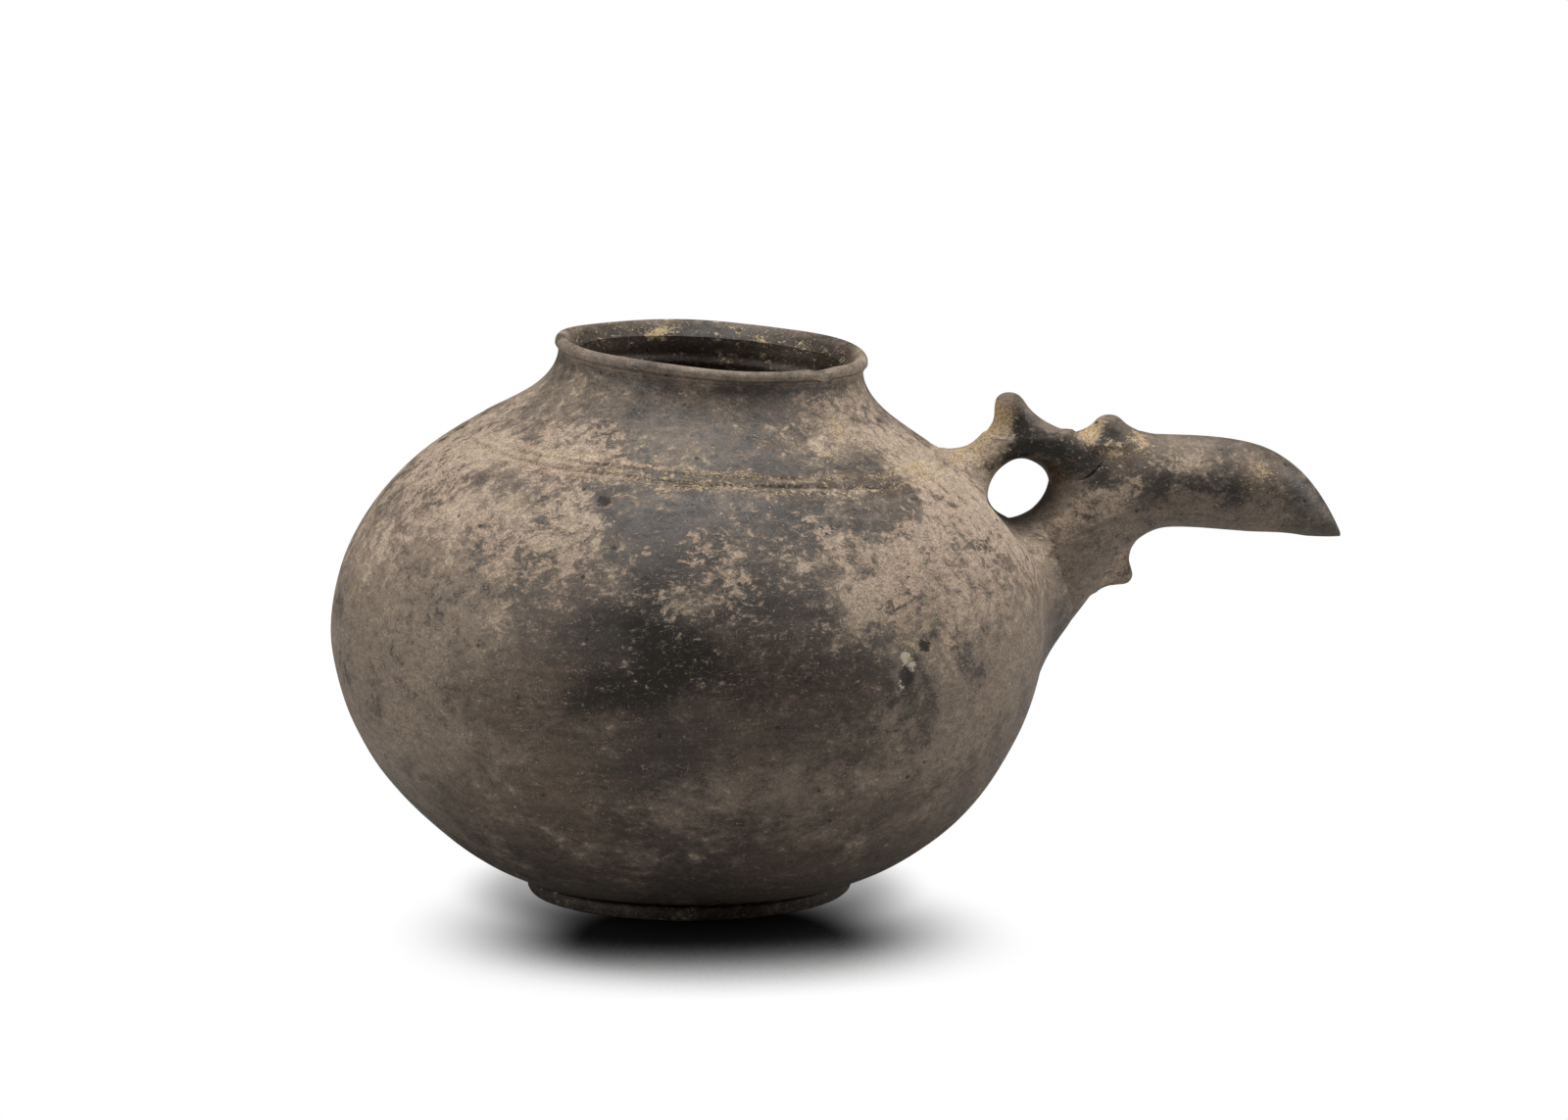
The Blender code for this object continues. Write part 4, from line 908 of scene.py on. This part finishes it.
def footDisc():
    # flat underside, worn edge, side up to the bowl; where the swell is low the edge's radius is worn back
    turn = rings(foot["around"])
    r, z = (column[:, None] for column in np.array(foot["profile"]).T)
    even = np.stack(np.broadcast_arrays(r * np.cos(turn), r * np.sin(turn), z), axis=-1)
    wear = np.clip(foot["wear"] * (swell(even, handWave) - foot["wearBelow"]), -foot["deepest"], 0.0)
    edge = over(r, foot["edge"]) * smooth(z / foot["sole"])
    return skin("foot_disc", turned(r + wear * edge, z, turn), startCap=True, endCap=True)


bowl = {"under": (0.004, 0.024, 0.044), "underHeight": 0.0045,
        "floor": (0.040, 0.022, 0.004), "floorHeight": 0.0103, "rows": (84, 40)}


def lowerBowl():
    # underside, outer wall up to the seam, inner wall back down, floor
    turn = rings(body["around"])
    outer, inner = shell(np.linspace(0.0, arcSeam, bowl["rows"][0]),
                         np.linspace(arcSeam + body["seamLap"], 0.0, bowl["rows"][1]))
    below = turned(np.array(bowl["under"])[:, None], bowl["underHeight"], turn)
    above = turned(np.array(bowl["floor"])[:, None], bowl["floorHeight"], turn)
    return skin("lower_bowl", np.concatenate([below, outer, inner, above]), startCap=True, endCap=True)


# dome: how the incised lines wander and how hard they are pressed, as (size, count, phase), and its rows
dome = {"wander": ((0.00025, 3, 1.0), (0.00018, 8, 0.4)), "press": ((0.25, 5, 2.0), (0.15, 13, 0.0)),
        "upperShare": 0.75, "lineMargin": 0.003, "rows": (100, 42, 44)}


def lineDepth(arc, turn):
    # two incised lines: Gaussian cuts that wander a little as they go round
    wander, press = ripple(turn, dome["wander"]), 1.0 + ripple(turn, dome["press"])
    places = arcGroove - body["lineSpacing"], arcGroove
    lower, upper = (bell(arc - at - wander, body["lineWidth"]) for at in places)
    return body["lineDepth"] * press * (lower + dome["upperShare"] * upper)


def shoulderDome():
    # closed shell from the seam to the collar, with finer rows at the incised lines
    lines, (low, fine, back) = arcGroove - body["lineSpacing"] - dome["lineMargin"], dome["rows"]
    outArcs = np.concatenate([np.linspace(arcSeam, lines, low)[:-1], np.linspace(lines, arcCollar, fine)])
    outer, inner = shell(outArcs, np.linspace(arcCollar, arcSeam + body["seamLap"], back), lineDepth)
    outer = eyeHole(smeared(outer, normalsOf(outer), [strapCloud], smear["shoulder"]))
    return skin("shoulder_dome", np.concatenate([outer, inner]), closed=True)


collar = {"ledge": 0.0014, "ledgeBelow": 0.0036, "ledgeRun": 0.0012, "mouthRun": 0.010, "rows": (46, 26, 20)}


def neckCollar():
    # collar shell; below the mouth the inner wall thickens by a smooth step, which leaves a ledge
    (front, mouth, low), bend = collar["rows"], arcNeck - collar["mouthRun"]
    outer = shell(np.linspace(arcCollar, arcNeck, front), np.array([arcNeck]))[0]
    back = np.concatenate([np.linspace(arcNeck, bend, mouth)[:-1], np.linspace(bend, arcCollar, low)])
    ledge = collar["ledge"] * smooth((arcNeck - collar["ledgeBelow"] - back) / collar["ledgeRun"])
    inner = bodySkin(back[:, None], rings(body["around"]), -body["wall"] - ledge[:, None])
    return skin("neck_collar", np.concatenate([outer, inner]), closed=True)


rim = {
    "radius": 0.0464, "top": 0.1641, "edge": 0.0019, "roll": 125.0,
    "seat": 0.1593, "inner": 0.0395, "neck": 0.0453, "undercut": (0.25, 0.5), "dish": 1.15,
    "rows": (18, 12, 5), "waves": ((0.00030, 2, 0.6), (0.00022, 5, 0.0)),
    "setBack": 0.00052, "waveOut": 0.3, "nickTurn": 305.0, "nickWidth": 0.07, "nickFrom": (0.0425, 0.002),
    "nickDepth": 0.0012, "nickOut": 0.6,
}


def rimCoil():
    # flat seat, undercut side, round edge and a sloping inner face; the edge is a little wavy, with a nick
    turn, (edgeRows, rows, seatRows) = rings(body["around"]), rim["rows"]
    a, t = np.radians(np.linspace(0.0, rim["roll"], edgeRows)), np.linspace(0.0, 1.0, rows)
    middle, level = rim["radius"] - rim["edge"], rim["top"] - rim["edge"]
    sideR = rim["neck"] + (rim["radius"] - rim["neck"]) * over(t, rim["undercut"])
    sideZ = rim["seat"] + (level - rim["seat"]) * t
    edgeR, edgeZ = middle + rim["edge"] * np.cos(a), level + rim["edge"] * np.sin(a)
    faceR = edgeR[-1] + (rim["inner"] - edgeR[-1]) * t
    faceZ = edgeZ[-1] + (rim["seat"] - edgeZ[-1]) * t ** rim["dish"]
    seatR = np.linspace(rim["inner"], rim["neck"], seatRows)[1:-1]
    r = np.concatenate([sideR[:-1], edgeR, faceR[1:], seatR])[:, None]
    z = np.concatenate([sideZ[:-1], edgeZ, faceZ[1:], np.full(len(seatR), rim["seat"])])[:, None]
    rise = smooth((z - rim["seat"]) / (level - rim["seat"]))
    wave = ripple(turn, rim["waves"]) - rim["setBack"]
    nick = bell(turn - math.radians(rim["nickTurn"]), rim["nickWidth"]) * over(r, rim["nickFrom"])
    r = r + rise * (rim["waveOut"] * wave - rim["nickOut"] * rim["nickDepth"] * nick)
    z = z + rise * (wave - rim["nickDepth"] * nick)
    return skin("rim_coil", turned(r, z, turn), closed=True)


addPiece("foot_disc", footDisc(), brownClay)
addPiece("lower_bowl", lowerBowl(), brownClay)
addPiece("shoulder_dome", shoulderDome(), greyClay)
addPiece("neck_collar", neckCollar(), greyClay)
addPiece("rim_coil", rimCoil(), brownClay)
print("body turned")


# spout members

def spoutRows(stations, grow):
    # rings of the spout's skin at the given stations
    return spoutSkin(np.asarray(stations, dtype=float)[:, None], rings(spout["around"]), grow)


def spoutOutside():
    # throat and beak as one grid from root to tip, so that both share the row at their joint
    first = np.linspace(0.0, spout["joint"], spout["throatRows"])
    last = np.linspace(spout["joint"], spout["tipFrom"], spout["beakRows"])
    tip = 2 - np.linspace(*spout["tipRoots"], spout["tipRows"]) ** 2
    grid = spoutRows(np.concatenate([first, last[1:-1], tip]), 0.0)
    up = facing(grid, normalsOf(grid))
    worked = grid + up * handMade(grid, spout["unevenness"])[..., None]
    worked = smeared(worked, up, [wattleCloud], smear["wattle"])
    worked = eyeHole(smeared(worked, up, [strapCloud, rearCloud, frontCloud], smear["spout"]))
    return worked[:len(first)], worked[len(first) - 1:]


throatSkin, beakSkin = spoutOutside()


def carved(mesh, tool):
    # the mesh with the tool's volume taken away
    pair = [bpy.data.objects.new(m.name, m) for m in (mesh, tool)]
    for obj in pair:
        bpy.context.collection.objects.link(obj)
    cut = pair[0].modifiers.new("cut", "BOOLEAN")
    cut.operation, cut.solver, cut.object = "DIFFERENCE", "EXACT", pair[1]
    made = bpy.data.meshes.new_from_object(pair[0].evaluated_get(bpy.context.evaluated_depsgraph_get()))
    for obj in pair:
        bpy.data.objects.remove(obj, do_unlink=True)
    made.name = mesh.name
    return made


def spoutThroat():
    # tube from inside the wall to the joint, with its bore
    bore = spoutRows(np.linspace(spout["joint"], 0.0, spout["boreRows"][0]), -spout["wall"])
    return skin("spout_throat", np.concatenate([throatSkin, bore]), closed=True)


def mouthTool():
    # upright slot through the beak's underside: half width by the root of sin(pi v), with a least share
    v = np.linspace(0.0, 1.0, spout["mouthRows"][0])
    s = spout["mouth"][0] + (spout["mouth"][1] - spout["mouth"][0]) * v
    crest, keel = linePoint(crestLine, s), linePoint(keelLine, s)
    share = np.sqrt(np.maximum(np.sin(math.pi * v), 0))
    half = spout["mouthWidth"] / 2 * np.maximum(share, spout["mouthLeast"])
    top, low = (crest + keel) / 2, keel - np.array([0.0, spout["wall"]])
    f = np.linspace(0.0, 1.0, spout["mouthRows"][1])
    side = top[:, None] + (low - top)[:, None] * f[None, :, None]
    right = np.stack([side[..., 0], np.broadcast_to(half[:, None], side.shape[:2]), side[..., 1]], axis=-1)
    left = right[:, ::-1] * np.array([1.0, -1.0, 1.0])
    return skin("mouth_tool", np.concatenate([right, left], axis=1), startCap=True, endCap=True)


def spoutBeak():
    # bore from its blind end back to the joint, then the outside on to the tip; the mouth is cut below
    bore = spoutRows(np.linspace(spout["boreEnd"], spout["joint"], spout["boreRows"][1]), -spout["wall"])
    whole = skin("spout_beak", np.concatenate([bore, beakSkin]), startCap=True, endCap=True)
    return carved(whole, mouthTool())


# luting coil: its ring's stations on the spout, its footprint's reach on the body, and how it is drawn under
coil = {
    "side": 0.0200, "crestStation": 0.2715, "keelStation": 0.13, "reachUp": 0.0293, "reachDown": 0.0345,
    "lead": 0.05, "around": 160, "rows": (48, 14),
    "drawnUnder": 0.00025, "crown": 0.00040, "fairing": 0.25, "depth": 0.0022,
}


def coilFace(lift):
    # cubic from an oval footprint on the body to a ring round the throat
    # it leaves along the body's skin and arrives along the throat's
    turn, count = rings(coil["around"])[0], len(lift)
    reach = np.where(np.sin(turn) > 0, coil["reachUp"], coil["reachDown"])
    side = (spout["throatHalf"] + coil["side"]) / body["belly"][0]
    middle = (coil["crestStation"] + coil["keelStation"]) / 2
    swing = (coil["crestStation"] - coil["keelStation"]) / 2

    def footprint(share):
        return bodySkin(arcRoot + share * reach * np.sin(turn), share * side * np.cos(turn), 0.0)

    def ring(beyond):
        return spoutSkin(middle + swing * np.sin(turn) + beyond, turn, 0.0)

    a, d = footprint(1.0), ring(0.0)
    span = np.linalg.norm(d - a, axis=-1)[:, None] / 3
    leave, arrive = footprint(1 - coil["lead"]) - a, ring(coil["lead"]) - d
    b = a + leave / np.linalg.norm(leave, axis=-1)[:, None] * span
    c = d - arrive / np.linalg.norm(arrive, axis=-1)[:, None] * span
    face = bezier((a, b, c, d), np.broadcast_to(np.linspace(0.0, 1.0, count)[:, None], (count, len(turn))))
    up = facing(face, normalsOf(face))
    return eyeHole(face + up * (lift[:, None] + handMade(face, body["unevenness"]) - dents(face))[..., None])


def lutingCoil():
    # outer face with both edges drawn under its neighbours, then the same face sunk into the wall
    v = np.linspace(0.0, 1.0, coil["rows"][0])
    crown = smooth(v / coil["fairing"]) * smooth((1 - v) / coil["fairing"])
    outer = coilFace(-coil["drawnUnder"] + coil["crown"] * crown)
    inner = coilFace(np.full(coil["rows"][1], -coil["depth"]))[::-1]
    return skin("spout_luting_coil", np.concatenate([outer, inner]), closed=True)


def bridgeStrap():
    # the strap, smeared into the body, the spout and both horns, with the eye's upper half pressed into it
    up = facing(bareStrap, normalsOf(bareStrap))
    worked = bareStrap + up * handMade(bareStrap, strap["unevenness"])[..., None]
    worked = smeared(worked, up, [bodyCloud], smear["shoulder"])
    worked = smeared(worked, up, [spoutCloud, rearCloud, frontCloud], smear["spout"])
    return skin("bridge_strap", eyeHole(worked), startCap=True, endCap=True)


def peakMesh(name, bare, clouds, reach):
    # a pinched peak, smeared into its neighbours
    up = facing(bare, normalsOf(bare))
    worked = bare + up * handMade(bare, peak["unevenness"])[..., None]
    return skin(name, smeared(worked, up, clouds, reach), startCap=True, endCap=True)


addPiece("spout_throat", spoutThroat(), greyClay)
addPiece("spout_luting_coil", lutingCoil(), buffClay)
addPiece("spout_beak", spoutBeak(), greyClay)
addPiece("bridge_strap", bridgeStrap(), buffClay)
rearMesh = peakMesh("rear_horn", bareRear, [strapCloud, spoutCloud, frontCloud], smear["spout"])
frontMesh = peakMesh("front_horn", bareFront, [spoutCloud, strapCloud, rearCloud], smear["spout"])
wattleMesh = peakMesh("wattle_knob", bareWattle, [spoutCloud], smear["wattle"])
addPiece("rear_horn", rearMesh, blackClay)
addPiece("front_horn", frontMesh, blackClay)
addPiece("wattle_knob", wattleMesh, buffClay)
print("spout built")


# light: lamps are (name, place, size, power)
studio = {
    "lamps": (("top_box", (0.0, 0.08, 1.40), (1.0, 0.9), 20.0),
              ("left_box", (-1.5, -0.25, 0.85), (0.8, 1.0), 14.0),
              ("right_box", (1.5, -0.25, 0.85), (0.8, 1.0), 17.0),
              ("front_box", (0.1, -2.2, 1.3), (1.2, 0.8), 3.0)),
    "aim": (0.03, 0.0, 0.08), "surround": 0.10,
}
# floor: the painted shadow's reach and depth, and the distances over which it gives way to plain white
floorLook = {
    "half": 9.0, "below": 0.0002, "dull": 0.42, "reach": 0.12, "cover": (0.37, 1.05), "paper": (0.012, 0.95),
    "squash": (1.0, 0.80, 1.0), "shadowAt": (-0.0084, -0.0592, 0.0), "glow": (0.036, 0.096),
    "footGlow": (0.050, 0.074), "footShare": 0.45,
}


def makeFloor():
    # white floor that takes real and painted shadow near the pot and shows plain white to the camera further
    # out
    # dull to other rays, and clear from below
    half, low = floorLook["half"], -floorLook["below"]
    mesh = bpy.data.meshes.new("floor")
    mesh.from_pydata([(-half, -half, low), (half, -half, low), (half, half, low), (-half, half, low)], [],
                     [(0, 1, 2, 3)])
    floor = bpy.data.objects.new("floor", mesh)
    bpy.context.collection.objects.link(floor)
    material = bpy.data.materials.new("floor_white")
    material.use_nodes = True
    material.node_tree.nodes.clear()
    add = nodeMaker(material.node_tree)

    def ramp(value, span, ends=(0.0, 1.0)):
        keys = {"Value": value, "From Min": span[0], "From Max": span[1], "To Min": ends[0], "To Max": ends[1]}
        return add("MapRange", keys, interpolation_type="SMOOTHSTEP").outputs[0]

    def mixed(share, a, b):
        return add("MixShader", {0: share, 1: a, 2: b}).outputs[0]

    spot = add("TexCoord").outputs["Object"]
    # the painted shadow's shape: plain white outside an oval set towards the front, and less of it round the
    # foot
    squashed = add("VectorMath", {0: spot, 1: floorLook["squash"]}, operation="MULTIPLY").outputs[0]
    away = add("VectorMath", {0: squashed, 1: floorLook["shadowAt"]}, operation="DISTANCE").outputs["Value"]
    fromFoot = add("VectorMath", {0: spot}, operation="LENGTH").outputs["Value"]
    nearFoot = ramp(fromFoot, floorLook["footGlow"], (floorLook["footShare"], 1.0))
    white = add("Math", {0: ramp(away, floorLook["glow"]), 1: nearFoot}, operation="MULTIPLY").outputs[0]
    # painted shadow: the floor's colour darkens with ambient occlusion from the pot
    hidden = add("AmbientOcclusion", {"Distance": floorLook["reach"]}).outputs["AO"]
    paper = add("BsdfDiffuse", {"Color": ramp(hidden, floorLook["cover"], floorLook["paper"])}).outputs[0]
    dull = add("BsdfDiffuse", {"Color": (*[floorLook["dull"]] * 3, 1.0)}).outputs[0]
    seen = mixed(white, paper, add("Emission").outputs[0])
    whole = mixed(add("LightPath").outputs["Is Camera Ray"], dull, seen)
    oneSided = mixed(add("NewGeometry").outputs["Backfacing"], whole, add("BsdfTransparent").outputs[0])
    add("OutputMaterial", {"Surface": oneSided})
    mesh.materials.append(material)


def softbox(name, location, size, power):
    # area lamp turned to face the pot
    data = bpy.data.lights.new(name, "AREA")
    data.shape = "RECTANGLE"
    data.size, data.size_y = size
    data.energy = power
    lamp = bpy.data.objects.new(name, data)
    lamp.location = location
    away = np.array(location) - np.array(studio["aim"])
    lamp.rotation_euler = (math.acos(away[2] / np.linalg.norm(away)), 0.0, math.atan2(away[0], -away[1]))
    bpy.context.collection.objects.link(lamp)


def makeWorld():
    # even pale surround; white to the camera
    world = bpy.data.worlds.new("surround")
    bpy.context.scene.world = world
    world.use_nodes = True
    world.node_tree.nodes.clear()
    add, white = nodeMaker(world.node_tree), (1.0, 1.0, 1.0, 1.0)
    soft, plain = (add("Background", {"Color": white, "Strength": k}) for k in (studio["surround"], 1.0))
    rays = add("LightPath").outputs["Is Camera Ray"]
    mix = add("MixShader", {0: rays, 1: soft.outputs[0], 2: plain.outputs[0]})
    add("OutputWorld", {"Surface": mix.outputs[0]})


makeFloor()
makeWorld()
for lamp in studio["lamps"]:
    softbox(*lamp)
print("studio lit")
